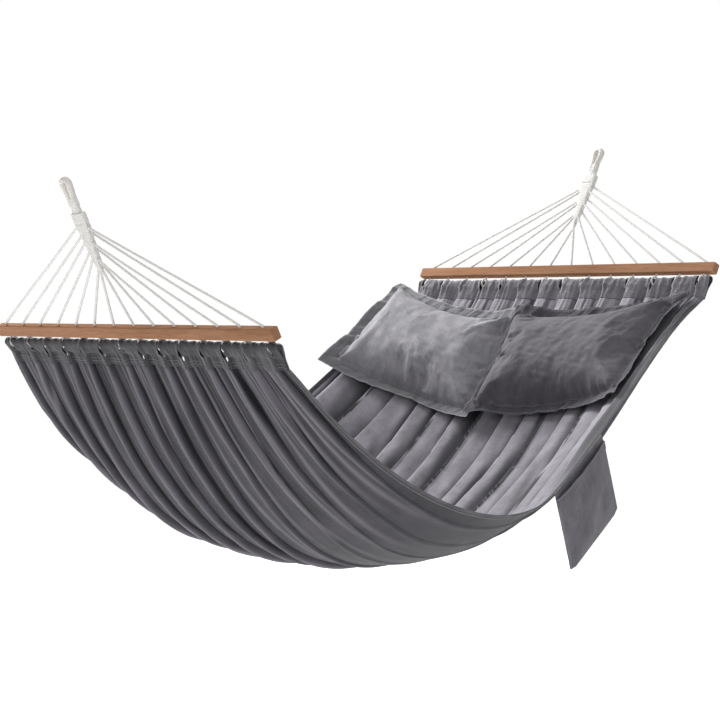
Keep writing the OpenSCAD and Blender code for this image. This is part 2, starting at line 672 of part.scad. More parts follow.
from_head_hook() head_cord(4);  // head_cord_05
from_head_hook() head_cord(5);  // head_cord_06
from_head_hook() head_cord(6);  // head_cord_07
from_head_hook() head_cord(7);  // head_cord_08
from_head_hook() head_cord(8);  // head_cord_09
from_head_hook() head_cord(9);  // head_cord_10
from_head_hook() head_cord(10);  // head_cord_11
from_head_hook() head_cord(11);  // head_cord_12
from_head_hook() head_cord(12);  // head_cord_13
from_head_hook() head_cord(13);  // head_cord_14
from_head_hook() foot_clew();
from_head_hook() head_clew();
from_head_hook() foot_throat();
from_head_hook() head_throat();
from_head_hook() foot_loop();
from_head_hook() head_loop();
from_head_hook() foot_seizing();
from_head_hook() head_seizing();
from_head_hook() foot_header();
from_head_hook() head_header();
from_head_hook() bed_sheet();
from_head_hook() near_hem();
from_head_hook() far_hem();
from_head_hook() far_pillow_cover();
from_head_hook() far_pillow_filling();
from_head_hook() near_pillow_cover();
from_head_hook() near_pillow_filling();
from_head_hook() pocket_back();
from_head_hook() pocket_front();
from_head_hook() pocket_hem();
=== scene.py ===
"""Spreader-bar hammock: cords, cloth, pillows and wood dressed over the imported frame."""

import json
import math

import bpy
import numpy as np
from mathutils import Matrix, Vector


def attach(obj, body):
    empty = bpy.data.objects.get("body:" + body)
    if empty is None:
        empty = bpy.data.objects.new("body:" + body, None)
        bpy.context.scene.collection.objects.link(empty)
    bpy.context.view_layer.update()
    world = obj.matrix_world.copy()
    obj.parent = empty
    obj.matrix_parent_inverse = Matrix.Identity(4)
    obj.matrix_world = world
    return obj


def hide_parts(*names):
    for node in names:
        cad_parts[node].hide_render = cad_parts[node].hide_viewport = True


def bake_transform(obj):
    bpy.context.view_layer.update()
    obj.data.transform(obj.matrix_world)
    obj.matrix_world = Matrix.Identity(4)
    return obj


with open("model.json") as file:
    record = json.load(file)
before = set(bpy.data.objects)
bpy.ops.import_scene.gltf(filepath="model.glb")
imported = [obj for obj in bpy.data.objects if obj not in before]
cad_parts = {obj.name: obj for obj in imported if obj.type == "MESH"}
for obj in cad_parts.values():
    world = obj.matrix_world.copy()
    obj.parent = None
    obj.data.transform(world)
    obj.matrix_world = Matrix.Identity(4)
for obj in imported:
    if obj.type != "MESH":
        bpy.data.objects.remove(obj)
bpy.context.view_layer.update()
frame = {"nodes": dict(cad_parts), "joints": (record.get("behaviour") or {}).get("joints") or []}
scene = bpy.context.scene
scene.view_settings.view_transform = "Standard"

# Sizes repeated from the part's source, in millimetres
BAR_SPACING, HEAD_RISE, TILT = 1575.0, 170.0, math.radians(26.0)
BAR_HEIGHT, PITCH, CORDS = 32.0, 86.5, 14
CORD_D, ROPE_D, LOOP_EYE = 6.6, 13.0, 14.0
LOOP_REACH, LOOP_LENGTH = 422.0, 84.0
CLEW_STEP, CLEW_ROW = 21.0, 8.0
DOWEL_DROP, DOWEL_D, HEADER_REACH = 38.0, 14.0, 92.0
END_HALF, MID_SPREAD, SIDE_SKEW = 594.0, 104.0, 90.0
EDGE_SAG, MID_SAG, EDGE_SKEW, MID_SKEW = 432.0, 612.0, 190.0, 100.0
EDGE_POWER, MID_POWER, CROSS_POWER = 1.6, 2.35, 2.6
PLEAT, PLEAT_LEFT, PLEAT_REACH, PLEAT_LEAN, PLEAT_PULLED = 11.0, 0.5, 0.5, 0.12, 0.85
PLEAT_HUMP = 2.6
PILLOW_W, PILLOW_L, PILLOW_TOP = 620.0, 400.0, 22.0
NEAR_SHIFT, FAR_SHIFT, NEAR_TURN, FAR_TURN = 266.0, 352.0, 72.0, 72.0
CROWN, FLANGE, FLANGE_H, DRAW, BRIDGE = 118.0, 33.0, 20.0, 14.0, 36.0
FLANGE_LAP, OUTER_LIFT, PILLOW_GAP = 16.0, 14.0, PLEAT + 2
POCKET_W, POCKET_D, POCKET_BELLY = 256.0, 214.0, 18.0
POCKET_CORNER, MOUTH_DROP, POCKET_HEM, POCKET_LEAN = 22.0, 14.0, 22.0, math.radians(20.0)
NECK_GAP, THROAT_LENGTH, THROAT_CAP, CLEW_GAP = 12.0, 24.0, 3.0, 2.0
CLEW_WEB, CLEW_CLEARANCE, CLOTH_CLEARANCE, HEADER_CLOTH, YARN_GAP = 1.2, 0.3, 0.4, 1.4, 0.6
LEG_GAP, LEG_RISE, SEIZING_START, SEIZING_RISE = 0.9, 11.4, 4.0, 20.0

# Sizes of the dressing alone, in millimetres; a SEAM is measured in from its edge
NEAR_SPLAY, TAPE_LAP, HITCH_GAP = 32.0, 3.0, 0.3
BED_THICK, TAB_THICK, BAG_THICK, BAND_THICK = 1.6, 1.3, 1.5, 1.2
FRONT_OFF, FRONT_THREAD, BAND_OFF, BAND_THREAD, BAG_SEAM = 2.2, 3.2, 4.4, 5.3, 5.0
HEM_SEAM, HEM_FACE = 12.5, 2.25

HALF_X, HALF_Z = BAR_SPACING / 2, HEAD_RISE / 2
NECK_Z = LOOP_REACH - LOOP_LENGTH
THROAT_TOP = NECK_Z - NECK_GAP
THROAT_LOW = THROAT_TOP - THROAT_LENGTH
CLEW_TOP = THROAT_LOW - CLEW_GAP
COLUMN_STEP = CORD_D + CLEW_CLEARANCE
LAYER_X = CLEW_WEB / 2 + CLEW_CLEARANCE + CORD_D / 2
ARC_R = (LOOP_EYE + ROPE_D) / 2
ARC_Z = LOOP_REACH - ARC_R - ROPE_D / 2
LEG_Y, LEG_Z = ROPE_D / 2 + LEG_GAP, NECK_Z + LEG_RISE
SEIZING_LOW, SEIZING_TOP = NECK_Z + SEIZING_START, LEG_Z + SEIZING_RISE
SEAT_Z = ARC_Z + LOOP_EYE / 2
TUNNEL_OUT = DOWEL_D / 2 + CLOTH_CLEARANCE + HEADER_CLOTH
TUNNEL_TOP = TUNNEL_OUT - DOWEL_DROP
END_X = HALF_X - HEADER_REACH * math.sin(TILT)
END_Z = -HEADER_REACH * math.cos(TILT)
ORIGIN = np.array([HALF_X + SEAT_Z * math.sin(TILT), 0.0, HALF_Z + SEAT_Z * math.cos(TILT)])
ENDS = {"foot": -1, "head": 1}


def row(p):
    """Millimetres about the middle of the span, to metres in the row frame."""
    return (np.asarray(p, float) - ORIGIN) / 1000


def at_end(side, p):
    """Points of one end's own frame, whose Z climbs the harness, in the row frame."""
    p = np.asarray(p, float)
    c, s = math.cos(side * TILT), math.sin(side * TILT)
    x = p[..., 0] * c + p[..., 2] * s + side * HALF_X
    z = -p[..., 0] * s + p[..., 2] * c + side * HALF_Z
    return row(np.stack([x, p[..., 1], z], axis=-1))


def unit(v):
    return v / np.maximum(np.linalg.norm(v, axis=-1, keepdims=True), 1e-12)


def ease(x, low, high):
    x = np.clip((np.asarray(x, float) - low) / (high - low), 0, 1)
    return x * x * (3 - 2 * x)


def wander(x, seed, octaves=3):
    """A smooth wavering value of about -1 to 1 along x."""
    rng = np.random.default_rng(seed)
    total = np.zeros(np.shape(x))
    for k in range(octaves):
        f, ph = (1.0, 2.13, 4.31, 8.7)[k] * rng.uniform(0.8, 1.2), rng.uniform(0, 6.28)
        total = total + np.sin(np.asarray(x) * f * 6.283 + ph) / (1 + k)
    return total / 1.6


def wander2(x, y, seed, waves=9):
    """A smooth wavering value of about -1 to 1 over a plane, in steps of about one."""
    rng = np.random.default_rng(seed)
    total = np.zeros(np.broadcast(x, y).shape)
    for _ in range(waves):
        a, f, ph = rng.uniform(0, 6.28), rng.uniform(0.6, 1.6), rng.uniform(0, 6.28)
        total = total + np.sin(6.283 * f * (np.cos(a) * x + np.sin(a) * y) + ph)
    return total / (waves**0.5 * 1.2)


def bell(x):
    return np.exp(-(x**2))


def circle(n):
    return np.arange(n) * 2 * math.pi / n


def pairs(a, b):
    return np.stack(np.broadcast_arrays(a, b), axis=-1)


# Mesh helpers
def quads_of(g):
    """Quads between the points of a grid of point numbers."""
    return np.stack([g[:-1, :-1], g[:-1, 1:], g[1:, 1:], g[1:, :-1]], axis=-1).reshape(-1, 4)


def grid_faces(m, n, wrap=False):
    """Quads of an m by n grid of points; wrap joins the last column to the first."""
    g = np.arange(m * n).reshape(m, n)
    return quads_of(np.hstack([g, g[:, :1]]) if wrap else g)


def make(name, material, points, faces, uv=None, values=None):
    """A smooth mesh object; uv and values are given per point."""
    mesh = bpy.data.meshes.new(name)
    points = np.asarray(points, float).reshape(-1, 3)
    mesh.from_pydata(points.tolist(), [], [list(map(int, f)) for f in faces])
    mesh.polygons.foreach_set("use_smooth", [True] * len(mesh.polygons))
    for m in material if isinstance(material, (list, tuple)) else [material]:
        mesh.materials.append(m)
    if uv is not None:
        corner = np.zeros(len(mesh.loops), np.int32)
        mesh.loops.foreach_get("vertex_index", corner)
        layer = mesh.uv_layers.new(name="cloth")
        layer.data.foreach_set("uv", np.asarray(uv, np.float32).reshape(-1, 2)[corner].ravel())
    for key, v in (values or {}).items():
        layer = mesh.attributes.new(key, "FLOAT", "POINT")
        layer.data.foreach_set("value", np.asarray(v, np.float32).ravel())
    mesh.update()
    obj = bpy.data.objects.new(name, mesh)
    scene.collection.objects.link(obj)
    return obj


def thicken(obj, thick):
    """Gives a cloth object its thickness, in millimetres, half to each side."""
    mod = obj.modifiers.new("cloth", "SOLIDIFY")
    mod.thickness = thick / 1000
    mod.offset = 0.0
    return mod


def run_of(path):
    """Distance along a polyline at each of its points."""
    return np.concatenate([[0], np.cumsum(np.linalg.norm(np.diff(path, axis=0), axis=1))])


def at_run(path, along, at):
    """Values along a polyline, read at other distances."""
    return np.stack([np.interp(at, along, path[:, k]) for k in range(3)], axis=1)


def frames_along(path):
    """Two steady normals along a polyline."""
    t = unit(np.gradient(path, axis=0))
    n = np.zeros_like(path)
    first = np.array([1.0, 0, 0]) if abs(t[0][0]) < 0.8 else np.array([0, 1.0, 0])
    n[0] = unit(first - t[0] * (first @ t[0]))
    for k in range(1, len(path)):
        n[k] = unit(n[k - 1] - t[k] * (n[k - 1] @ t[k]))
    return n, np.cross(t, n)


def respace(path, step):
    """The same polyline in even steps, and the distance along it at each point."""
    along = run_of(path)
    at = np.linspace(0, along[-1], max(3, int(round(along[-1] / step)) + 1))
    return at_run(path, along, at), at


def round_corners(path, times):
    """Cuts the corners of a polyline a few times over."""
    for _ in range(times):
        a, b = path[:-1], path[1:]
        cut = np.empty((2 * len(a), 3))
        cut[0::2], cut[1::2] = a * 0.75 + b * 0.25, a * 0.25 + b * 0.75
        path = np.vstack([path[:1], cut, path[-1:]])
    return path


def capped(rings, sides):
    """Faces of a closed tube of rings, with its two end points after the last ring."""
    k, last, n = np.arange(sides), (rings - 1) * sides, rings * sides
    after = (k + 1) % sides
    lids = [[n, j, i] for i, j in zip(k, after)]
    lids += [[n + 1, last + i, last + j] for i, j in zip(k, after)]
    return grid_faces(rings, sides, True).tolist() + lids


def tube_parts(path, radius, sides, twist=0.0, lobes=0, lobe=0.0, wide=1.0):
    """Points, faces and uv of a tube with lobes that twist round it, or one wider than it is thick."""
    n, b = frames_along(path)
    along = run_of(path)
    a = circle(sides)
    r = radius * (1 + lobe * np.cos(lobes * (a - twist * along[:, None])))
    spoke = np.cos(a)[:, None] * n[:, None] * wide + np.sin(a)[:, None] * b[:, None]
    p = path[:, None] + r[..., None] * spoke
    uv = pairs(np.arange(sides) / sides, along[:, None])
    points = np.vstack([p.reshape(-1, 3), path[:1], path[-1:]])
    return points, capped(len(path), sides), np.vstack([uv.reshape(-1, 2), [[0, 0], [0, along[-1]]]])


def gather(parts):
    """One set of points, faces and uv from several."""
    points, faces, uvs, start = [], [], [], 0
    for p, f, uv in parts:
        points.append(p)
        uvs.append(uv)
        faces.extend([[i + start for i in q] for q in f])
        start += len(p)
    return np.vstack(points), faces, np.vstack(uvs)


# Materials: a source is a plain value or a pair of a node and the name of its output
def surface(name, **values):
    """A new material, its node tree and its surface shader; in a socket's name _ stands for a space."""
    m = bpy.data.materials.new(name)
    m.use_nodes = True
    bsdf = m.node_tree.nodes["Principled BSDF"]
    for key, value in values.items():
        bsdf.inputs[key.replace("_", " ")].default_value = value
    return m, m.node_tree, bsdf


def join(source, socket):
    if isinstance(source, tuple) and hasattr(source[0], "outputs"):
        socket.id_data.links.new(source[0].outputs[source[1]], socket)
    else:
        socket.default_value = source


def node(tree, kind, **values):
    n = tree.nodes.new(kind)
    for k, v in values.items():
        if hasattr(n, k):
            setattr(n, k, v)
        else:
            n.inputs[k].default_value = v
    return n


def beside(source, kind, **values):
    """A new node in the tree that holds a source."""
    return node(source[0].id_data, kind, **values)


def ramp(source, stops):
    n = beside(source, "ShaderNodeValToRGB")
    while len(n.color_ramp.elements) < len(stops):
        n.color_ramp.elements.new(0.5)
    for e, (at, c) in zip(n.color_ramp.elements, stops):
        e.position = at
        e.color = (*c, 1)
    join(source, n.inputs["Fac"])
    return n, "Color"


def maths(operation, *sources, clamp=False):
    n = beside(sources[0], "ShaderNodeMath", operation=operation, use_clamp=clamp)
    for source, socket in zip(sources, n.inputs):
        join(source, socket)
    return n, 0


def mixed(factor, a, b, blend="MIX"):
    n = beside(factor, "ShaderNodeMix", data_type="RGBA", blend_type=blend)
    for key, source in (("Factor", factor), ("A", a), ("B", b)):
        join(source, n.inputs[key])
    return n, "Result"


def scaled(place, scale):
    n = beside(place, "ShaderNodeMapping", Scale=scale)
    join(place, n.inputs["Vector"])
    return n, "Vector"


def noise(place, scale, **values):
    n = beside(place, "ShaderNodeTexNoise", Scale=1.0, **values)
    join(scaled(place, scale), n.inputs["Vector"])
    return n, "Fac"


def bands(place, axis, **values):
    n = beside(place, "ShaderNodeTexWave", wave_type="BANDS", bands_direction=axis, **values)
    join(place, n.inputs["Vector"])
    return n, "Fac"


def attribute(tree, name):
    return node(tree, "ShaderNodeAttribute", attribute_name=name), "Fac"


def cloth_uv(tree):
    return node(tree, "ShaderNodeUVMap", uv_map="cloth"), "UV"


def relief(bsdf, height, strength, distance):
    n = beside(height, "ShaderNodeBump", Strength=strength, Distance=distance)
    join(height, n.inputs["Height"])
    join((n, "Normal"), bsdf.inputs["Normal"])


# Scale of the bands that make the weave
WEAVE_SCALE = 143.24


def cloth(name, dark, light, wear_highlight_and_shade, painted_dive_shade=0.0):
    """Washed woven cloth: mottled dye, slubs along both threads, ridges lighter, partly faded by use and
    partly painted highlight, and painted shade in the folds.
    """
    m, tree, bsdf = surface(name, Roughness=0.93, Specular_IOR_Level=0.18, Sheen_Weight=0.12)
    uv = cloth_uv(tree)
    blotch = noise(uv, (15.0, 11.0, 1.0), Detail=7.0, Roughness=0.62)
    warp = noise(uv, (420.0, 14.0, 1.0), Detail=3.0, Roughness=0.6)
    weft = noise(uv, (14.0, 420.0, 1.0), Detail=3.0, Roughness=0.6)
    slub = maths("ADD", warp, weft)
    tone = maths("ADD", blotch, maths("MULTIPLY_ADD", slub, 0.3, -0.3), clamp=True)
    dye = ramp(tone, [(0.3, dark), (0.68, light)])
    ridge = attribute(tree, "ridge")
    # Lighter on the ridges: partly faded by use, partly painted highlight where fold edges catch the light
    brighter = (*[min(1.0, c * 2.1 + 0.05) for c in light], 1)
    lightened = mixed(maths("MULTIPLY", ridge, wear_highlight_and_shade, clamp=True), dye, brighter)
    # Darker in the folds: painted shade
    painted_fold_shade = maths("MULTIPLY", ridge, -2 * wear_highlight_and_shade, clamp=True)
    # Painted shade on the slopes that fall under the next pleat, facing away from the far-side lamp
    if painted_dive_shade:
        painted_fold_shade = maths("MULTIPLY_ADD", attribute(tree, "painted_dive_shade"), painted_dive_shade, painted_fold_shade, clamp=True)
    join(mixed(painted_fold_shade, lightened, (*[c * 0.4 for c in dark], 1)), bsdf.inputs["Base Color"])
    threads = [bands(uv, axis, Scale=WEAVE_SCALE, Distortion=0.6, Detail=1.0) for axis in "XY"]
    lumps = maths("MULTIPLY_ADD", slub, 1.6, maths("MAXIMUM", *threads))
    relief(bsdf, lumps, 0.55, 0.0006)
    return m


def cotton(name, dark, light, ribs=0.0, lean=0.0):
    """Undyed cotton: soft yarn with fibre noise, and ribs across the piece or leaning."""
    m, tree, bsdf = surface(name, Roughness=0.9, Specular_IOR_Level=0.2, Sheen_Weight=0.15)
    uv = cloth_uv(tree)
    fibre = noise(uv, (30.0, 160.0, 1.0), Detail=5.0, Roughness=0.65)
    join(ramp(fibre, [(0.3, dark), (0.7, light)]), bsdf.inputs["Base Color"])
    height = fibre
    if ribs:
        wave = bands(scaled(uv, (lean, ribs, 0.0)), "DIAGONAL", Scale=1.0, Distortion=0.5)
        height = maths("MULTIPLY_ADD", fibre, 0.5, wave)
    relief(bsdf, height, 0.12, 0.0004)
    return m


def timber(name, tones):
    """Matt hardwood: fine straight grain along the bar, pores and a slow change of tone."""
    m, tree, bsdf = surface(name, Specular_IOR_Level=0.0)
    place = tree.nodes.new("ShaderNodeTexCoord"), "Object"
    slow = noise(place, (16.0, 2.2, 16.0), Detail=3.0)
    grain = noise(place, (230.0, 5.0, 230.0), Detail=6.0, Roughness=0.6, Distortion=0.3)
    pore = noise(place, (900.0, 24.0, 900.0))
    figure = maths("MULTIPLY_ADD", slow, 0.55, maths("MULTIPLY", grain, 0.45))
    dye = ramp(figure, list(zip((0.3, 0.48, 0.7), tones)))
    dark = ramp(pore, [(0.56, (0, 0, 0)), (0.7, (1, 1, 1))])
    join(mixed(dark, dye, (0.72, 0.62, 0.55, 1), "MULTIPLY"), bsdf.inputs["Base Color"])
    rough = ramp(grain, [(0.3, (0.42, 0.42, 0.42)), (0.7, (0.6, 0.6, 0.6))])
    join(rough, bsdf.inputs["Roughness"])
    relief(bsdf, grain, 0.25, 0.0005)
    return m


INNER = cloth("bed_cloth_inside", (0.157, 0.152, 0.168), (0.291, 0.281, 0.309), wear_highlight_and_shade=0.32, painted_dive_shade=1.0)
# The outside is the inside's cloth, darkened as painted shade
OUTER_SHADED = cloth("bed_cloth_outside_shaded", (0.0185, 0.0175, 0.021), (0.0405, 0.0375, 0.0455), wear_highlight_and_shade=-1.5)
# The trim's outer faces take a copy darkened as painted shade, its inner faces a lighter copy
TRIM_SHADED = cloth("bed_cloth_trim", (0.024, 0.023, 0.026), (0.048, 0.046, 0.051), wear_highlight_and_shade=0.85)
TRIM_INSIDE = cloth("bed_cloth_trim_inside", (0.09, 0.087, 0.096), (0.175, 0.168, 0.184), wear_highlight_and_shade=0.5)
PALE = cloth("pillow_cloth_pale", (0.146, 0.143, 0.153), (0.253, 0.248, 0.265), wear_highlight_and_shade=0.22)
GREY = cloth("pillow_cloth_grey", (0.062, 0.058, 0.067), (0.113, 0.107, 0.121), wear_highlight_and_shade=0.25)
BAG = cloth("pocket_cloth", (0.083, 0.079, 0.089), (0.155, 0.148, 0.165), wear_highlight_and_shade=0.3)
THREAD = cotton("grey_thread", (0.2, 0.195, 0.21), (0.3, 0.29, 0.31))
YARN = cotton("cotton_yarn", (0.510, 0.499, 0.485), (0.580, 0.570, 0.556))
WHIPPING = cotton("cotton_whipping", (0.510, 0.499, 0.482), (0.580, 0.570, 0.552), ribs=300.0)
SERVING = cotton("cotton_serving", (0.510, 0.486, 0.458), (0.580, 0.555, 0.524), ribs=360.0, lean=6.0)
WOOD = timber("oiled_wood", [(0.163, 0.081, 0.045), (0.260, 0.139, 0.081), (0.338, 0.194, 0.121)])
# The dowels' wood is near black as painted shade, so the slits over them read dark
DOWEL_SHADED = timber("dowel_wood_shaded", [(0.035, 0.033, 0.035), (0.05, 0.047, 0.05), (0.07, 0.066, 0.068)])

# Camera, at the photograph's place
camera = bpy.data.objects.new("camera", bpy.data.cameras.new("camera"))
scene.collection.objects.link(camera)
scene.camera = camera
camera.data.sensor_width = 36.0
camera.data.lens = 99.8
camera.data.clip_end = 100.0
camera.location = (-4.603, -4.156, -0.479)
camera.rotation_mode = "QUATERNION"
camera.rotation_quaternion = Vector((0.657, 0.753, -0.026)).to_track_quat("-Z", "Y")


# Harness cords: each leaves the clew, passes its hole and is hitched on the dowel
def column_of(k):
    return math.ceil((CORDS // 2 - 1 - k) / 2)


def bent(p, at, q, r):
    """Two points beside a bend, towards p and towards q."""
    return [at + unit(p - at) * r, at + unit(q - at) * r]


def cord_path(side, i):
    """The line of cord i, whose pair leaves the clew at row k."""
    k = min(i, CORDS - 1 - i)
    hand = -1 if i < CORDS // 2 else 1
    y = (i - (CORDS - 1) / 2) * PITCH
    layer = hand if k == CORDS // 2 - 1 else 1 - 2 * (k % 2)
    bend = BAR_HEIGHT / 2 + CORD_D / 2 + 1.5
    hitch = DOWEL_D / 2 + CORD_D / 2 + HITCH_GAP
    end = THROAT_TOP - THROAT_CAP - YARN_GAP
    top = np.array([side * layer * LAYER_X, hand * column_of(k) * COLUMN_STEP, end])
    out = np.array([top[0], top[1], CLEW_TOP - k * CLEW_STEP - CLEW_ROW - CORD_D / 2 - YARN_GAP])
    mouth, low = np.array([0, y, bend]), np.array([0, y, -bend])
    first = math.acos(hitch / (DOWEL_DROP - bend))
    turn = first + np.arange(13) * (2 * math.pi - 2 * first) / 12
    loop = np.stack([side * hitch * np.sin(turn), 0 * turn + y, hitch * np.cos(turn) - DOWEL_DROP], axis=1)
    tail = np.array([-side * (CORD_D / 2 + 2), y, -bend - CORD_D])
    corners = np.vstack([[top], bent(top, out, mouth, 3), bent(out, mouth, low, 4),
                         bent(mouth, low, loop[0], 3), loop, [tail]])
    return at_end(side, respace(round_corners(corners, 3), 3.6)[0])


# Lay of the cords in radians per metre, one left-hand turn in 66 mm, and their share of the full thickness
CORD_TWIST, CORD_SHARE = -2 * math.pi / 0.066, 0.97
for end, side in ENDS.items():
    for i in range(CORDS):
        path = cord_path(side, i)
        tube = tube_parts(path, CORD_SHARE * CORD_D / 2000, 10, CORD_TWIST, lobes=3, lobe=0.05)
        cord = make(f"cord_{end}_{i + 1:02d}", YARN, *tube)
        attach(cord, "hammock")
        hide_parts(f"{end}_cord_{i + 1:02d}")


# Clews, throats, necks and loops
SLEEVE_SIDES, NECK_RINGS, NECK_SIDES, LOOP_WIDE = 48, 22, 84, 1.4


def ring(half_x, half_y, z, phase, weave):
    """A rounded rectangle of points round the cords, waving over and under them."""
    a = circle(SLEEVE_SIDES)
    power = 0.42
    x = half_x * np.sign(np.cos(a)) * np.abs(np.cos(a)) ** power
    y = half_y * np.sign(np.sin(a)) * np.abs(np.sin(a)) ** (power if half_y > half_x else 1)
    wave = weave * np.cos(math.pi * y / COLUMN_STEP + math.pi * phase) * np.abs(np.cos(a)) ** 0.5
    return np.stack([x + np.sign(x) * wave, y, np.full(SLEEVE_SIDES, z)], axis=1)


def sleeve(side, low, high, half_x, half_y, rib=2.2, deep=0.2, weave=0.0):
    """A tight serving: a skin of fine ribs round the cords, sized at its two ends."""
    z = np.arange(low, high + 0.01, rib / 5)
    share = (z - z[0]) / (z[-1] - z[0])
    puff = deep * np.abs(np.sin(math.pi * z / rib))
    puff = puff - 1.6 * (1 - ease(np.minimum(share, 1 - share), 0, 0.08))
    x, y = (half[0] + (half[1] - half[0]) * share + puff for half in (half_x, half_y))
    rings = [ring(*sizes, weave) for sizes in zip(x, y, z, np.floor(z / rib).astype(int))]
    points = at_end(side, np.vstack([*rings, [[0, 0, z[0]], [0, 0, z[-1]]]]))
    uv = pairs(np.arange(SLEEVE_SIDES) / SLEEVE_SIDES, z[:, None] / 1000)
    return points, capped(len(z), SLEEVE_SIDES), np.vstack([uv.reshape(-1, 2), np.zeros((2, 2))])


for end, side in ENDS.items():
    reach, depth = column_of(0) * COLUMN_STEP + CORD_D / 2, LAYER_X + CORD_D / 2
    tip = CLEW_TOP - (CORDS // 2 - 1) * CLEW_STEP - CLEW_ROW
    wound = sleeve(side, tip, THROAT_LOW, (depth - 0.5, depth + 1.0), (CORD_D / 2 + 2.2, reach + 0.8),
                   rib=3.4, deep=0.3, weave=0.3)
    clew = make(f"{end}_woven_clew", WHIPPING, *wound)
    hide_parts(f"{end}_clew")
    wide, thick = reach + 1.5, depth + 1.5
    wound = sleeve(side, THROAT_LOW - 2, THROAT_TOP + 1, (thick, thick), (wide, wide - 1))
    throat = make(f"{end}_whipped_throat", WHIPPING, *wound)
    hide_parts(f"{end}_throat")
    for piece in (clew, throat):
        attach(piece, "hammock")

    thick, wide = ROPE_D / 2 + 1.7, LEG_Y + ROPE_D / 2 + 1.9
    wound = sleeve(side, SEIZING_LOW, SEIZING_TOP - 3, (thick, thick - 0.6), (wide, wide - 0.8))
    seizing = make(f"{end}_wound_seizing", WHIPPING, *wound)
    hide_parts(f"{end}_seizing")
    arc = math.pi * np.arange(1, 12) / 12
    half = np.array([[0, LEG_Y, LEG_Z], [0, LEG_Y, SEIZING_TOP - 4], [0, LEG_Y + 1, SEIZING_TOP + 4],
                     [0, ARC_R, ARC_Z]])
    over = np.stack([0 * arc, ARC_R * np.cos(arc), ARC_Z + ARC_R * np.sin(arc)], axis=1)
    whole = np.vstack([half, over, half[::-1] * np.array([1, -1, 1])])
    path = at_end(side, respace(round_corners(whole, 2), 2.2)[0])
    loop = make(f"{end}_served_loop", SERVING, *tube_parts(path, ROPE_D / 2000, 20, wide=LOOP_WIDE))
    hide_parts(f"{end}_loop")
    for piece in (seizing, loop):
        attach(piece, "hung_loops")

    tall = np.linspace(THROAT_TOP - 6, SEIZING_LOW + 8, NECK_RINGS)
    a = circle(NECK_SIDES)
    turn = (tall - tall[0])[:, None] * 0.03
    w = ease(tall, tall[0], tall[-1])[:, None]
    half_x, half_y = 7.0 + 0.4 * w, 21.0 * (1 - w) + 14.0 * w
    yarns = 1 + 0.05 * np.cos(CORDS * (a + turn))
    p = np.stack([half_x * np.cos(a) * yarns, half_y * np.sin(a) * yarns, tall[:, None] + 0 * a], axis=-1)
    uv = pairs(np.arange(NECK_SIDES) / NECK_SIDES, tall[:, None] / 1000)
    neck = make(f"{end}_rope_neck", YARN, at_end(side, p), grid_faces(NECK_RINGS, NECK_SIDES, True), uv)
    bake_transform(neck)

for name in ("foot_bar", "head_bar", "foot_dowel", "head_dowel"):
    bar = frame["nodes"][name]
    bar.data.materials.clear()
    bar.data.materials.append(WOOD if name.endswith("bar") else DOWEL_SHADED)
    if name.endswith("bar"):
        soft = bar.modifiers.new("eased edges", "BEVEL")
        soft.width = 0.0009
        soft.segments = 2
        soft.limit_method = "ANGLE"
        soft.angle_limit = math.radians(25)
        soft.harden_normals = True


# Bed: smooth trough first, then its pleats
def base(u, t):
    u, t = np.broadcast_arrays(np.asarray(u, float), np.asarray(t, float))
    edge = EDGE_SKEW * u * (1 - u * u) - EDGE_SAG * (1 - np.abs(u) ** EDGE_POWER)
    mid = MID_SKEW * u * (1 - u * u) - MID_SAG * (1 - np.abs(u) ** MID_POWER)
    z = END_Z + HALF_Z * u + edge + (mid - edge) * (1 - np.abs(t) ** CROSS_POWER)
    return np.stack([END_X * u, t * half_w(u), z], axis=-1)


def half_w(u):
    return END_HALF + (MID_SPREAD - SIDE_SKEW * u) * (1 - u * u)


def up(u, t):
    u, t = np.broadcast_arrays(np.asarray(u, float), np.asarray(t, float))
    d = 0.004
    along = base(np.minimum(u + d, 1), t) - base(np.maximum(u - d, -1), t)
    across = base(u, t + d / 2) - base(u, t - d / 2)
    n = unit(np.cross(along, across))
    side = np.sign(u)
    end = np.stack([-side * math.cos(TILT), 0 * side, np.full(u.shape, math.sin(TILT))], axis=-1)
    w = ease(np.abs(u), 0.93, 1.0)[..., None]
    return unit(n * (1 - w) + end * w)


def fold(q, steep):
    """A knife pleat: from its crest at q = 0 a steep fall to q = steep, then a humped rise."""
    q = np.mod(q, 1)
    drop = 1 - 2 * ease(q, 0, steep)
    return np.where(q < steep, drop, 1 - 2 * np.clip((1 - q) / (1 - steep), 0, 1) ** PLEAT_HUMP)


def swell(u):
    """Depth of the pleats along the bed: full near both ends, half in the middle."""
    return PLEAT * (PLEAT_LEFT + (1 - PLEAT_LEFT) * ease(np.abs(u), 0, PLEAT_REACH))


def inward(u):
    """How much deeper the dressed pleats are than the solids, from the middle to the pillows."""
    return 1 + ease(u, -0.15, 0.1) * (1 - 0.6 * ease(u, 0.25, 0.6))


def pulled(u, t):
    """Share of the pleats that is drawn out flat on the near side, behind the foot."""
    return PLEAT_PULLED * ease(-t, 0.05, 0.55) * ease(u, -0.95, -0.6) * ease(-u, -0.25, 0.15)


def creases():
    """Fine creases that start at the tabs: (end, start, drift, width, height, length) of each."""
    rng = np.random.default_rng(91)
    lines = []
    for side in (-1, 1):
        for y in np.linspace(-END_HALF + 20, END_HALF - 20, 58):
            lines.append((side, y + rng.uniform(-9, 9), rng.uniform(-60, 60), rng.uniform(2.6, 5.5),
                          rng.choice([-1, -1, 1]) * rng.uniform(0.8, 2.4), rng.uniform(0.06, 0.34)))
    for y in (-150, -215, -290, -352, -410, -468, -520):
        lines.append((-1, y, rng.uniform(-70, -20), rng.uniform(5, 9),
                      -rng.uniform(2.2, 3.8), rng.uniform(0.5, 0.95)))
    return lines


CREASES = creases()


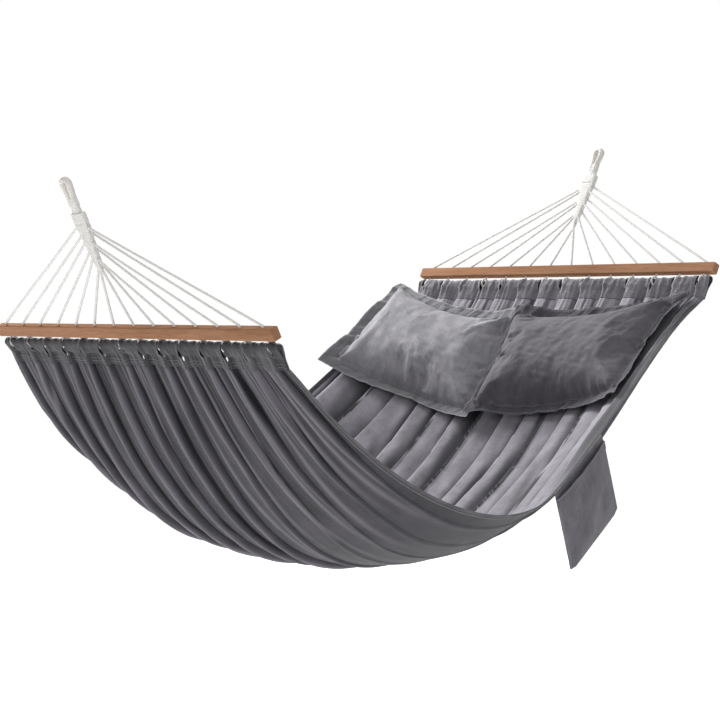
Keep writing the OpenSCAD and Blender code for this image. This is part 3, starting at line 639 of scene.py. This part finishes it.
def creased(u, t):
    """Height of the fine creases at points of the bed, and their colour mark seen from inside: lighter on
    raised ones, partly faded by use and partly painted highlight, darker in grooves as painted shade.
    """
    y = t * END_HALF
    total, lit_crest_shaded_fold = np.zeros(np.shape(u)), np.zeros(np.shape(u))
    for side, start, drift, width, height, length in CREASES:
        far = 1 - side * u
        line = start + drift * far + 6 * np.sin(5 * far + start)
        across = (y - line) / (width * (1 + 1.5 * far))
        shape = bell(across) * (1 - ease(far, length * 0.3, length)) * (far < 1)
        total = total + height * shape
        lit_crest_shaded_fold = lit_crest_shaded_fold + np.sign(height) * 0.5 * shape**2
    return total * (1 - ease(np.abs(t), 0.93, 1.0)), lit_crest_shaded_fold


def pleats(u, t):
    """Offset of the pleated cloth from the smooth trough, and its colour mark there seen from inside:
    lighter on the crests, partly faded by use and partly painted highlight, darker in the folds as painted
    shade.
    """
    y = t * END_HALF / PITCH
    loose = ease(1 - np.abs(u), 0.0, 0.3)
    drift = 0.09 * wander(u * 0.55, 5) + 0.1 * wander(y * 0.23 + u * 0.35, 6)
    drift = drift + 0.05 * wander(y * 0.5 - u * 0.9, 7)
    q = y - 0.5 + drift * loose
    each = 1 + 0.3 * np.sin(np.floor(q) * 2.4 + 1.0 + 1.2 * u) * loose
    amount = swell(u) * (0.7 + 0.3 * ease(1 - np.abs(u), 0.0, 0.06)) * each * inward(u)
    amount = amount * (1 - pulled(u, t)) * (1 - ease(np.abs(t), 0.93, 1.0))
    shape = fold(q, PLEAT_LEAN)
    part = np.mod(q, 1)
    # Colour mark: positive on the crest (partly faded by use, partly painted highlight), negative in the
    # fold (painted shade)
    crest = bell(np.minimum(part, 1 - part) / 0.022) - bell((part - PLEAT_LEAN) / 0.045)
    fine, fine_lit_crest_shaded_fold = creased(u, t)
    fine = fine + wander(y * 1.7 + 0.4 * u, 11) * 1.6 * ease(np.abs(u), 0.8, 1.0)
    fine = fine + wander(y * 0.9 + 2.5 * u, 12) * 1.4 * ease(np.abs(u), 0.5, 0.9)
    broad = 2.8 * wander2(u * 1.6, t * 1.4, 21) * ease(1 - np.abs(u), 0.0, 0.4)
    flicker = 0.75 + 0.25 * wander(u * 2.3 + np.floor(q) * 0.37, 13)
    return amount * shape + fine + broad, crest * np.clip(amount / 9, 0, 1) * flicker + fine_lit_crest_shaded_fold


def bed_point(u, t):
    return base(u, t) + up(u, t) * pleats(u, t)[0][..., None]


# Bed grid: rows closer near the ends, and two fifths of each fold's columns about its steep side
NU, PER, FOLDS, STEEP_SHARE = 200, 36, CORDS // 2 + 1, 0.4
us = np.sin(np.linspace(-1, 1, NU) * math.pi / 2) * 0.35 + np.linspace(-1, 1, NU) * 0.65
at, steep = np.arange(PER) / PER, PLEAT_LEAN + 0.06
gentle = steep + (at - STEEP_SHARE) / (1 - STEEP_SHARE) * (0.94 - PLEAT_LEAN)
at = np.where(at < STEEP_SHARE, at / STEEP_SHARE * steep, gentle) - 0.03
ts = (np.arange(-FOLDS, FOLDS)[:, None] + 0.5 + at).ravel() * PITCH / END_HALF
ts = np.concatenate([[-1.0], ts[np.abs(ts) < 0.997], [1.0]])
U, T = np.meshgrid(us, ts, indexing="ij")
off, lit_crest_shaded_fold = pleats(U, T)
P = base(U, T) + up(U, T) * off[..., None]
uv = pairs(T * 0.66, U)
# Painted shade: how steeply the cloth falls towards the next pleat, facing away from the far-side lamp
painted_dive_shade = ease(np.gradient(off, axis=1) / np.gradient(ts * END_HALF), 0.2, 1.0)
bed = make("bed_cloth", [INNER, OUTER_SHADED], row(P), grid_faces(NU, len(ts))[:, ::-1], uv,
           {"ridge": lit_crest_shaded_fold, "painted_dive_shade": painted_dive_shade})
skin = thicken(bed, BED_THICK)
skin.use_even_offset = False
# The solid's second face takes the outside copy, darkened as painted shade
skin.material_offset = 1
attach(bed, "hammock")
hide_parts("bed_sheet")

# Stitches: length, gap and half thickness of the thread, in millimetres
STITCH, STITCH_GAP, THREAD_R = 4.2, 2.4, 0.45


def stitches(path, normals, lift=0.5):
    """A run of small thread stitches along a line in metres that lies on a surface."""
    along = run_of(path) * 1000
    shape = np.array([[0, -0.6], [0.25, 0.8], [0.75, 0.8], [1.0, -0.6]])
    sides = 5
    starts = np.arange(1.5, along[-1] - STITCH, STITCH + STITCH_GAP)
    at = (starts[:, None] + shape[:, 0] * STITCH).ravel()
    n = unit(at_run(normals, along, at))
    line = at_run(path, along, at) + n * (lift * np.tile(shape[:, 1], len(starts)))[:, None] / 1000
    line, n = line.reshape(-1, len(shape), 3), n.reshape(-1, len(shape), 3)
    b = np.cross(unit(line[:, -1] - line[:, 0])[:, None], n)
    a = circle(sides)
    spoke = np.cos(a)[:, None] * n[:, :, None] + np.sin(a)[:, None] * b[:, :, None]
    p = (line[:, :, None] + THREAD_R / 1000 * spoke).reshape(-1, 3)
    first = np.arange(len(line)) * len(shape) * sides
    faces = (grid_faces(len(shape), sides, True) + first[:, None, None]).reshape(-1, 4)
    return p, faces.tolist(), np.zeros((len(p), 2))


# Side hems: a folded band with stitches round each long edge; each corner of the fold is (out, up,
# lightened), the last being how much lighter the cloth is there
HEM_FOLD = np.array([(-15.5, 0.9, 0), (-15.5, 2.0, 0), (-8, 2.3, 0), (-1, 2.4, 0.5), (1.5, 1.5, 0.9),
                     (2.2, 0, 0.9), (1.5, -1.5, 0.9), (-1, -2.4, 0.5), (-8, -2.3, 0), (-15.5, -2.0, 0),
                     (-15.5, -0.9, 0), (-7, -0.9, 0), (-0.5, -0.8, 0), (-0.5, 0.8, 0), (-7, 0.9, 0)])
for name, t_edge in (("near", -1.0), ("far", 1.0)):
    u = np.linspace(-0.998, 0.998, 230)
    edge = bed_point(u, t_edge)
    inner = bed_point(u, t_edge * 0.976)
    out = unit(edge - inner)
    n = up(u, t_edge)
    n = unit(n - out * (n * out).sum(1, keepdims=True))
    a, b, lightened = HEM_FOLD.T
    pucker, plump = 0.35 * wander(u * 22, 31), 1 + 0.12 * wander(u * 15, 33)
    outward = a + pucker[:, None] * (a < -10)
    p = edge[:, None] + out[:, None] * outward[..., None] + n[:, None] * (b * plump[:, None])[..., None]
    uv = pairs(np.arange(len(a)) * 0.004, u[:, None])
    faces = grid_faces(len(u), len(a), True)[:, ::int(t_edge)]
    brighter = lightened * (0.75 + 0.25 * wander(u * 9, 34))[:, None]
    # The hem takes the trim copy darkened as painted shade
    hem = make(f"{name}_folded_hem", TRIM_SHADED, row(p), faces, uv, {"ridge": brighter})
    runs = [stitches(row(edge - out * HEM_SEAM + face * HEM_FACE), face) for face in (n, -n)]
    thread = make(f"{name}_hem_stitches", THREAD, *gather(runs))
    for piece in (hem, thread):
        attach(piece, "hammock")
    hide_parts(f"{name}_hem")


# Tabs: notched tunnel cloth folded over each dowel; each end is (heading, width of slits, raggedness)
HEADING = {"foot": (3.5, 1.0, 2.0), "head": (0.0, 3.6, 1.6)}


def section(step):
    """The tunnel's outline from the inner seam over the dowel to the outer seam, as (h, z)."""
    r = TUNNEL_OUT + 0.3
    a = np.radians(np.linspace(-38, 218, 25))
    over = np.stack([r * np.cos(a), -DOWEL_DROP + r * np.sin(a)], axis=1)
    low = np.array([[1.6, -HEADER_REACH - 5], [1.7, -84], [1.9, -74], [2.6, -63], [4.6, -54]])
    path = np.vstack([low, over, low[::-1] * np.array([-1, 1])])
    path = np.column_stack([path, np.zeros(len(path))])
    path, along = respace(round_corners(path, 2), step)
    return path[:, 0], path[:, 1], along


def slits(z, wide, rng):
    """Left and right side of each cord's slit: open over the cord, then slanting to a point."""
    sides = []
    for i in range(CORDS):
        deep = rng.uniform(-80, -68)
        centre = rng.choice([-1, 1, 1]) * rng.uniform(5.5, 9) * ease(-z, 27, 46)
        half = np.interp(z, [deep - 2, deep + 3, deep + 14, -54, -30], [0, 1.0, 1.9, 2.6, 2.4])
        half = half * wide * rng.uniform(0.6, 1.25)
        hole = (i - (CORDS - 1) / 2) * PITCH
        sides.append((hole + centre - half, hole + centre + half))
    return sides


for end, side in ENDS.items():
    h, z, along = section(3.0)
    heading, wide, ragged = HEADING[end]
    cuts = slits(z, wide, np.random.default_rng(40 + side))
    parts, ridges, inner_faces = [], [], []
    columns = 27
    for j in range(CORDS + 1):
        left = cuts[j - 1][1] if j else np.full(len(z), -END_HALF)
        right = cuts[j][0] if j < CORDS else np.full(len(z), END_HALF)
        s = np.linspace(0, 1, columns)
        y = left[:, None] + (right - left)[:, None] * s
        zz = np.repeat(z[:, None], columns, axis=1)
        hh = np.repeat(h[:, None], columns, axis=1)
        face = np.sign(hh + 1e-6)
        away = np.mod(y / PITCH + 0.5 * CORDS, 1) - 0.5
        near_cord = bell(away * PITCH / 11) * (np.abs(y) < (CORDS - 0.4) / 2 * PITCH)
        brink = np.abs(2 * s - 1)
        free = ease(zz, -86, -64) * (1 - 0.35 * ease(zz, -46, -34))
        seam_off, seam_lit_crest_shaded_fold = pleats(np.full(zz.shape, 0.999 * side), y / END_HALF)
        shift = seam_off * (1 - ease(zz, -58, -34))
        outward = face * np.maximum(0, face * shift)
        shift = shift + (outward - shift) * ease(zz, -68, -54)
        ripple = 3.2 * wander(y / 31 + 0.3 * side + 0.004 * zz, 50 + side, 2)
        ripple = ripple + 1.8 * wander(y / 15 + 0.01 * zz, 52 + side, 1)
        ripple = ripple * free * (0.55 + 0.8 * near_cord) * (0.7 + 0.3 * face)
        hh = hh + shift + ripple + face * 4.9 * near_cord * ease(zz, -70, -52)
        rise = heading + 5.0 * (side > 0) * ease(np.abs(y), 430, 570) + 4.0 * near_cord
        rise = rise + ragged * wander(y / 37, 57 + side, 2) - 2.2 * brink**4
        zz = zz + rise * ease(zz, -48, TUNNEL_TOP)
        p = at_end(side, np.stack([-side * hh, y, zz], axis=-1))
        uv = pairs(y / 1000, along[:, None] / 1000)
        faces = grid_faces(len(z), columns)[:, ::-side]
        parts.append((p.reshape(-1, 3), faces.tolist(), uv.reshape(-1, 2)))
        # Lighter on outward ripples and on the tab edges near the slits; along the seam lighter on the pleat
        # crests, partly faded by use and partly painted highlight
        lightened = 0.5 * ease(face * ripple, 0.9, 2.6) + 0.6 * ease(brink, 0.93, 1.0) * ease(zz, -80, -60)
        lightened = lightened + 0.9 * np.clip(face * seam_lit_crest_shaded_fold, 0, 1) * (1 - ease(zz, -54, -36))
        ridges.append(lightened.ravel())
        inner_faces.append((face[:-1, :-1] > 0).ravel())
    tabs = make(f"{end}_tabs", [TRIM_SHADED, TRIM_INSIDE], *gather(parts), {"ridge": np.concatenate(ridges)})
    # Faces towards the inside take the lighter trim copy, the others the copy darkened as painted shade
    tabs.data.polygons.foreach_set("material_index", np.concatenate(inner_faces).astype(np.int32))
    thicken(tabs, TAB_THICK)
    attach(tabs, "hammock")
    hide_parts(f"{end}_header")
    runs = []
    y = np.linspace(-END_HALF + 3, END_HALF - 3, 500)
    off, _ = pleats(np.full(y.shape, 0.999 * side), y / END_HALF)
    for depth, half in ((-88.5, 1.7), (-80.5, 1.8)):
        for face in (-1, 1):
            line = np.stack([-side * (off + face * (half + 0.9)), y, np.full(y.shape, depth)], axis=1)
            ahead = at_end(side, line + np.array([-side * face, 0, 0])) - at_end(side, line)
            runs.append(stitches(at_end(side, line), unit(ahead)))
    thread = make(f"{end}_tab_stitches", THREAD, *gather(runs))
    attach(thread, "hammock")


# Pillows: sewn flat, filled by simulation, then laid along the bed
def pillow_at(near, a, b, h):
    """Points at height h on a pillow; a runs across the bed and b along it, from -1 to 1."""
    draw = np.where((a > 0) == near, 0.1, 1.0) * DRAW * (1 - np.minimum(b * b, 1))
    y = (-NEAR_SHIFT if near else FAR_SHIFT) + a * (PILLOW_W / 2 - draw)
    y = y - near * NEAR_SPLAY * ease(-a, 0, 1) * (1 - b) / 2
    turn = NEAR_TURN * (a + np.sqrt(a * a + 0.1)) / 4 if near else -FAR_TURN * a / 2
    run = np.linalg.norm(base(1.0, y / END_HALF) - base(0.6, y / END_HALF), axis=-1) / 0.4
    u = 1 - (PILLOW_TOP + PILLOW_L / 2 + turn - b * (PILLOW_L / 2 - DRAW * (1 - np.minimum(a * a, 1)))) / run
    t = y / half_w(u)
    rise = PILLOW_GAP + BRIDGE * np.maximum(0, 1 - np.abs(t) / 0.5) ** 2
    return base(u, t) + up_smooth(u, t) * (rise + h)[..., None]


def up_smooth(u, t):
    d = 0.004
    return unit(np.cross(base(u + d, t) - base(u - d, t), base(u, t + d) - base(u, t - d)))


def sewn_steps(length, steps, f):
    """Steps across a cover: f over the flange at each end, and the rest over the bag between."""
    bag = length / 2 - FLANGE
    return np.concatenate([np.linspace(-length / 2, -bag, f + 1)[:-1],
                           np.linspace(-bag, bag, steps - 2 * f + 1),
                           np.linspace(bag, length / 2, f + 1)[1:]])


def bulge(x, y):
    """Share of the bag's full height: one in the middle, nothing from the seams outward."""
    x, y = x / (PILLOW_W / 2 - FLANGE), y / (PILLOW_L / 2 - FLANGE)
    return np.clip(1 - np.abs(x) ** 2.4, 0, 1) * np.clip(1 - np.abs(y) ** 2.4, 0, 1)


def sewn_pillow(seed):
    """Points of a flat sewn cover in millimetres, with its quads, grid shape, bag and lower layer."""
    nx, ny, f = 80, 50, 5
    X, Y = np.meshgrid(sewn_steps(PILLOW_W, nx, f), sewn_steps(PILLOW_L, ny, f), indexing="ij")
    puff = bulge(X, Y)
    start = puff**0.6 * 26 + 1.5 * wander2(X / 90, Y / 90, seed) * (puff > 0)
    outside = (puff <= 0) * 1.6 * wander(X / 70 + Y / 55, seed + 1)
    top = np.stack([X, Y, start + outside], axis=-1).reshape(-1, 3)
    lower = np.arange(len(top)).reshape(nx + 1, ny + 1)
    inside = np.zeros_like(lower, bool)
    inside[f + 1:nx - f, f + 1:ny - f] = True
    lower[inside] = len(top) + np.arange(inside.sum())
    lower = lower[f:nx - f + 1, f:ny - f + 1]
    bottom = np.stack([X[inside], Y[inside], -start[inside]], axis=-1)
    quads = np.vstack([grid_faces(nx + 1, ny + 1)[:, ::-1], quads_of(lower)]).tolist()
    held = np.concatenate([puff.ravel() > 0, np.ones(len(bottom), bool)])
    return np.vstack([top, bottom]), quads, (nx, ny, f), held, lower


FILL_FRAMES, FILLED_SHARE = 26, 0.2


def fill(points, quads, bag):
    """Blows the sewn cover up a little with cloth simulation and returns its new points."""
    mesh = bpy.data.meshes.new("filling")
    mesh.from_pydata((points / 1000).tolist(), [], quads)
    obj = bpy.data.objects.new("filling", mesh)
    scene.collection.objects.link(obj)
    group = obj.vertex_groups.new(name="bag")
    group.add(np.nonzero(bag)[0].tolist(), 1.0, "REPLACE")
    mod = obj.modifiers.new("cloth", "CLOTH")
    c = mod.settings
    c.quality = 6
    c.mass = 0.25
    c.tension_stiffness = c.compression_stiffness = 12
    c.shear_stiffness = 6
    c.bending_stiffness = 0.25
    c.tension_damping = c.compression_damping = c.shear_damping = 8
    c.air_damping = 2
    c.use_pressure = True
    c.uniform_pressure_force = 2.6
    c.vertex_group_pressure = "bag"
    c.effector_weights.gravity = 0
    c.shrink_min = -0.035
    mod.collision_settings.use_collision = False
    scene.frame_start, scene.frame_end = 1, FILL_FRAMES
    mod.point_cache.frame_end = FILL_FRAMES
    for f in range(1, FILL_FRAMES + 1):
        scene.frame_set(f)
    done = obj.evaluated_get(bpy.context.evaluated_depsgraph_get()).to_mesh()
    out = np.zeros(len(done.vertices) * 3)
    done.vertices.foreach_get("co", out)
    bpy.data.objects.remove(obj)
    return out.reshape(-1, 3) * 1000


def finer(g):
    """A grid of points with twice as many steps each way, on smooth curves."""
    for axis in (0, 1):
        g = np.moveaxis(g, axis, 0)
        n = len(g)
        at = np.arange(2 * n - 1) / 2
        i = np.minimum(at.astype(int), n - 2)
        f = (at - i)[:, None, None]
        a, b, c, d = (g[np.clip(i + j, 0, n - 1)] for j in (-1, 0, 1, 2))
        g = b + 0.5 * f * (c - a + f * (2 * a - 5 * b + 4 * c - d + f * (3 * (b - c) + d - a)))
        g = np.moveaxis(g, 0, axis)
    return g


for name, near, material, slot, seed in (("far", False, PALE, "pale_pillow_cloth", 61),
                                         ("near", True, GREY, "grey_pillow_cloth", 71)):
    flat, quads, (nx, ny, f), bag, lower = sewn_pillow(seed)
    shape = fill(flat, quads, bag)
    tops = [finer(v[:(nx + 1) * (ny + 1)].reshape(nx + 1, ny + 1, 3)) for v in (flat, shape)]
    lows = [finer(v[lower]) for v in (flat, shape)]
    nx, ny, f = 2 * nx, 2 * ny, 2 * f
    index = np.arange((nx + 1) * (ny + 1)).reshape(nx + 1, ny + 1)
    under = index[f:nx - f + 1, f:ny - f + 1].copy()
    inside = under[1:-1, 1:-1]
    inside[:] = index.size + np.arange(inside.size).reshape(inside.shape)
    flat, shape = (np.vstack([t.reshape(-1, 3), w[1:-1, 1:-1].reshape(-1, 3)]) for t, w in zip(tops, lows))
    quads = np.vstack([quads_of(index)[:, ::-1], quads_of(under)])
    on_top = np.arange(len(shape)) < index.size
    half, zz = np.array([PILLOW_W / 2, PILLOW_L / 2]), shape[:, 2]
    flat, shape = flat[:, :2], shape[:, :2]
    filled = shape * half / np.percentile(np.abs(shape), 99.6, axis=0)
    x, y = (flat * (1 - FILLED_SHARE) + filled * FILLED_SHARE).T
    past_a, past_b = (np.abs(flat) - (half - FLANGE)).T
    past = np.maximum(past_a, past_b)
    inner = bulge(*flat.T)
    high, deep = np.percentile(zz, 99.7), -np.percentile(zz, 0.3)
    share = ease(past_a - past_b, -12, 12)
    gathers = ((1 - share) * wander(x / 46 + 0.02 * y, seed + 7) * (0.6 + 0.4 * wander(x / 240, seed + 9, 2))
               + share * wander(y / 46 + 0.02 * x, seed + 8) * (0.6 + 0.4 * wander(y / 240, seed + 10, 2)))
    reach = np.where(past > 0, 1 - 0.45 * np.clip(past / FLANGE, 0, 1), bell(past / 26))
    crinkle = 2.0 * wander2(x / 150, y / 100, seed + 3) + 1.0 * wander2(x / 60 + y / 130, y / 52, seed + 4)
    slack = wander2(x / 200, y / 200, seed + 12)
    crinkle = crinkle + 1.3 * wander2(x / 95 - y / 30, y / 240, seed + 11, 5) * slack
    full = np.sign(zz) * np.abs(zz / high) ** 0.78 * (CROWN - FLANGE_H - 4)
    bag_top = FLANGE_H + 2 + full + crinkle * inner**0.4 + 3.0 * gathers * reach
    bag_low = FLANGE_H - 2 + zz * (FLANGE_H - 4) / deep
    wavy = 3.2 * wander(x / 190, seed + 5) * (1 - share) + 3.2 * wander(y / 160, seed + 6) * share
    edge = FLANGE_H + wavy * np.clip(past / FLANGE, 0, 1) + np.clip(zz, -6, 6) * 0.5 + 3.4 * gathers * reach
    rise = np.where(past > 0.01, edge, np.where(on_top, bag_top, bag_low))
    rise = rise - 1.8 * bell(past / 4.5) * on_top
    a, b = x / half[0], y / half[1]
    rise = rise + (FLANGE_LAP if near else OUTER_LIFT) * np.maximum(0, (a - 0.4) / 0.6) ** 2 * (1 - inner)
    P = row(pillow_at(near, a, b, np.maximum(rise, 1.2)))
    uv = pairs(flat[:, 0] / 1000, flat[:, 1] / 1000 + (~on_top) * 0.5)
    # Colour mark: lighter on the flange's rim, along the seam and on the gathers, partly faded by use and
    # partly painted highlight
    rim = bell((past - FLANGE) / 3.0)
    ridge = rim + 0.8 * bell(past / 2.6) + 0.25 * np.clip(gathers, 0, 1) * reach * (past > -20)
    # Painted shade over the flange, which lies low beside the filled bag
    ridge = ridge - 1.1 * ease(past, 0, 4) * (1 - rim)
    cover = make(f"{name}_pillow", material, P, quads, uv, {"ridge": ridge * on_top})
    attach(cover, f"{name}_pillow")
    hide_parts(f"{name}_pillow_cover", f"{name}_pillow_filling")
    runs = []
    for k in (f, f - 1, 2):
        i, j = nx - k, ny - k
        loop = [index[k:i, k], index[i, k:j], index[i:k:-1, j], index[k, j:k:-1], index[k, [k]]]
        loop = np.concatenate(loop)
        low, high = (pillow_at(near, a[loop], b[loop], np.full(len(loop), h)) for h in (0.0, 10.0))
        n = unit(high - low)
        runs.append(stitches(P[loop] + n * 0.0003, n, lift=0.6))
    thread = make(f"{name}_pillow_stitches", THREAD, *gather(runs))
    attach(thread, f"{name}_pillow")


# Side pocket: a flat sewn bag hanging from a seam on the near edge
hinge = next(j for j in frame["joints"] if j["name"] == "pocket_swing")
SEAM, S_DIR = np.array(hinge["pos_m"]) * 1000, np.array(hinge["axis"])
LEVEL = unit(S_DIR * [1, 1, 0])
S_OUT = np.array([LEVEL[1], -LEVEL[0], 0.0])
S_DOWN = LEVEL * math.sin(POCKET_LEAN) - np.array([0, 0, math.cos(POCKET_LEAN)])


def pocket_at(s, d, o):
    """A point of the bag: along its seam, down from it and out from its back."""
    return (SEAM + S_DIR * s[..., None] + S_DOWN * d[..., None] + S_OUT * np.asarray(o)[..., None]) / 1000


def pocket_belly(s, d):
    return (POCKET_BELLY * (1 - np.abs(2 * s / POCKET_W - 1) ** 2.2)
            * (0.62 + 0.38 * np.sin(math.pi / 2 * np.minimum(1, d / (0.62 * POCKET_D))))
            * (1 - np.maximum(0, d / POCKET_D) ** 6))


def pocket_round(s, d):
    r = POCKET_CORNER
    x, y = np.minimum(s, POCKET_W - s), POCKET_D - d
    return np.where((x < r) & (y < r), (r - x) * (r - y) / r * 0.32, 0)


def pocket_swell(s, d):
    """How far the front stands off the back: its belly, and a slight wave that dies out at the foot."""
    wave = 1.6 * wander2(s / 80, d / 70, 82) * np.sin(math.pi * np.clip(s / POCKET_W, 0, 1))
    return pocket_belly(s, d) + wave * ease(POCKET_D - d, 0, 40)


def panel(name, s, d, o, thick, lightened):
    """One layer of the bag over s and d, standing o(s, d) off its back."""
    S, D = np.meshgrid(s, d, indexing="ij")
    p = pocket_at(S, D - pocket_round(S, D), o(S, D))
    uv = pairs(S / 1000, D / 1000)
    obj = make(name, BAG, p, grid_faces(len(s), len(d))[:, ::-1], uv, {"ridge": lightened(S, D)})
    thicken(obj, thick)
    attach(obj, "pocket")
    return obj


def pocket_run(s, d, o):
    """A row of stitches on the bag."""
    line = pocket_at(*np.broadcast_arrays(s, d, o))
    return stitches(line, np.tile(S_OUT, (len(line), 1)))


s = POCKET_W * (0.5 - 0.5 * np.cos(np.linspace(0, math.pi, 60)))
back = panel("pocket_back_cloth", s, np.linspace(0, POCKET_D, 50),
             lambda S, D: 0.7 * wander2(S / 90, D / 80, 81) * ease(D, 5, 60), BAG_THICK, lambda S, D: 0 * S)
front = panel("pocket_front_cloth", s, np.linspace(MOUTH_DROP, POCKET_D, 50),
              lambda S, D: FRONT_OFF + pocket_swell(S, D), BAG_THICK,
              lambda S, D: ease(np.minimum(np.minimum(S, POCKET_W - S), POCKET_D - D), 5, 0) * 0.8)
band = panel("pocket_mouth_hem", s, np.linspace(MOUTH_DROP, MOUTH_DROP + POCKET_HEM, 14),
             lambda S, D: BAND_OFF + pocket_swell(S, D), BAND_THICK,
             lambda S, D: (np.abs(D - MOUTH_DROP - 1) < 2) * 0.8)
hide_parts("pocket_back")
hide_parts("pocket_front")
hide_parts("pocket_hem")
s, d = np.linspace(2, POCKET_W - 2, 80), np.linspace(MOUTH_DROP, POCKET_D - POCKET_CORNER, 60)
foot, low = np.linspace(POCKET_CORNER, POCKET_W - POCKET_CORNER, 60), POCKET_D - BAG_SEAM
runs = [pocket_run(s, at, BAND_THREAD + pocket_swell(s, at))
        for at in (MOUTH_DROP + POCKET_HEM - 3, MOUTH_DROP + 4)]
runs += [pocket_run(at, d, FRONT_THREAD + pocket_belly(at, d)) for at in (BAG_SEAM, POCKET_W - BAG_SEAM)]
runs += [pocket_run(foot, low, FRONT_THREAD + pocket_belly(foot, low)), pocket_run(s, BAG_SEAM, 1.0)]
thread = make("pocket_stitches", THREAD, *gather(runs))
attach(thread, "pocket")

# Seam tape: the strip of the near hem's cloth that the pocket is sewn to, out to the seam it swings on
s, across = np.linspace(0, POCKET_W, 60), np.linspace(0, 1, 6)
seam = pocket_at(s, 0 * s, 0 * s)
hem = np.array([v.co for v in bpy.data.objects["near_folded_hem"].data.vertices])
root = np.array([hem[np.argmin(((hem - at) ** 2).sum(axis=1))] for at in seam])
reach = root - seam
reach = reach * (1 + TAPE_LAP / 1000 / np.linalg.norm(reach, axis=1, keepdims=True))
p = seam[:, None] + reach[:, None] * across[None, :, None]
uv = pairs(s[:, None] / 1000, across / 100)
tape = make("pocket_seam_tape", BAG, p, grid_faces(*p.shape[:2]), uv, {"ridge": np.zeros(p.shape[:2])})
thicken(tape, BAG_THICK)
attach(tape, "hammock")

# Studio: pale floor, white surround and soft light from above and two sides
FLOOR_HALF, FLOOR_Z = 30, -1.75
corners = [(x * FLOOR_HALF, y * FLOOR_HALF, FLOOR_Z) for x, y in ((-1, -1), (1, -1), (1, 1), (-1, 1))]
pale, _, _ = surface("pale_floor", Base_Color=(0.93, 0.93, 0.93, 1), Roughness=0.9,
                     Emission_Color=(1, 1, 1, 1), Emission_Strength=0.8)
floor = make("floor", pale, corners, [(0, 1, 2, 3)])

world = bpy.data.worlds.new("studio")
scene.world = world
world.use_nodes = True
tree = world.node_tree
glow, seen = (node(tree, "ShaderNodeBackground", Strength=s, Color=(1, 1, 1, 1)) for s in (0.32, 1.0))
mix = tree.nodes.new("ShaderNodeMixShader")
to_camera = tree.nodes.new("ShaderNodeLightPath"), "Is Camera Ray"
for source, socket in zip((to_camera, (glow, 0), (seen, 0)), mix.inputs):
    join(source, socket)
join((mix, 0), tree.nodes["World Output"].inputs["Surface"])


def softbox(name, place, target, size, watts):
    lamp = bpy.data.lights.new(name, "AREA")
    lamp.shape = "RECTANGLE"
    lamp.size, lamp.size_y = size
    lamp.energy = watts
    obj = bpy.data.objects.new(name, lamp)
    obj.location = place
    obj.rotation_mode = "QUATERNION"
    obj.rotation_quaternion = (Vector(target) - Vector(place)).to_track_quat("-Z", "Y")
    scene.collection.objects.link(obj)


softbox("overhead", (-1.3, 0.5, 2.2), (-0.9, 0.0, -0.8), (1.9, 1.6), 52)
softbox("far side", (-0.5, 3.1, 1.25), (-0.9, 0.0, -0.8), (1.5, 1.3), 250)
softbox("near left", (-3.9, -2.9, 0.9), (-1.2, 0.0, -0.6), (1.8, 1.8), 45)
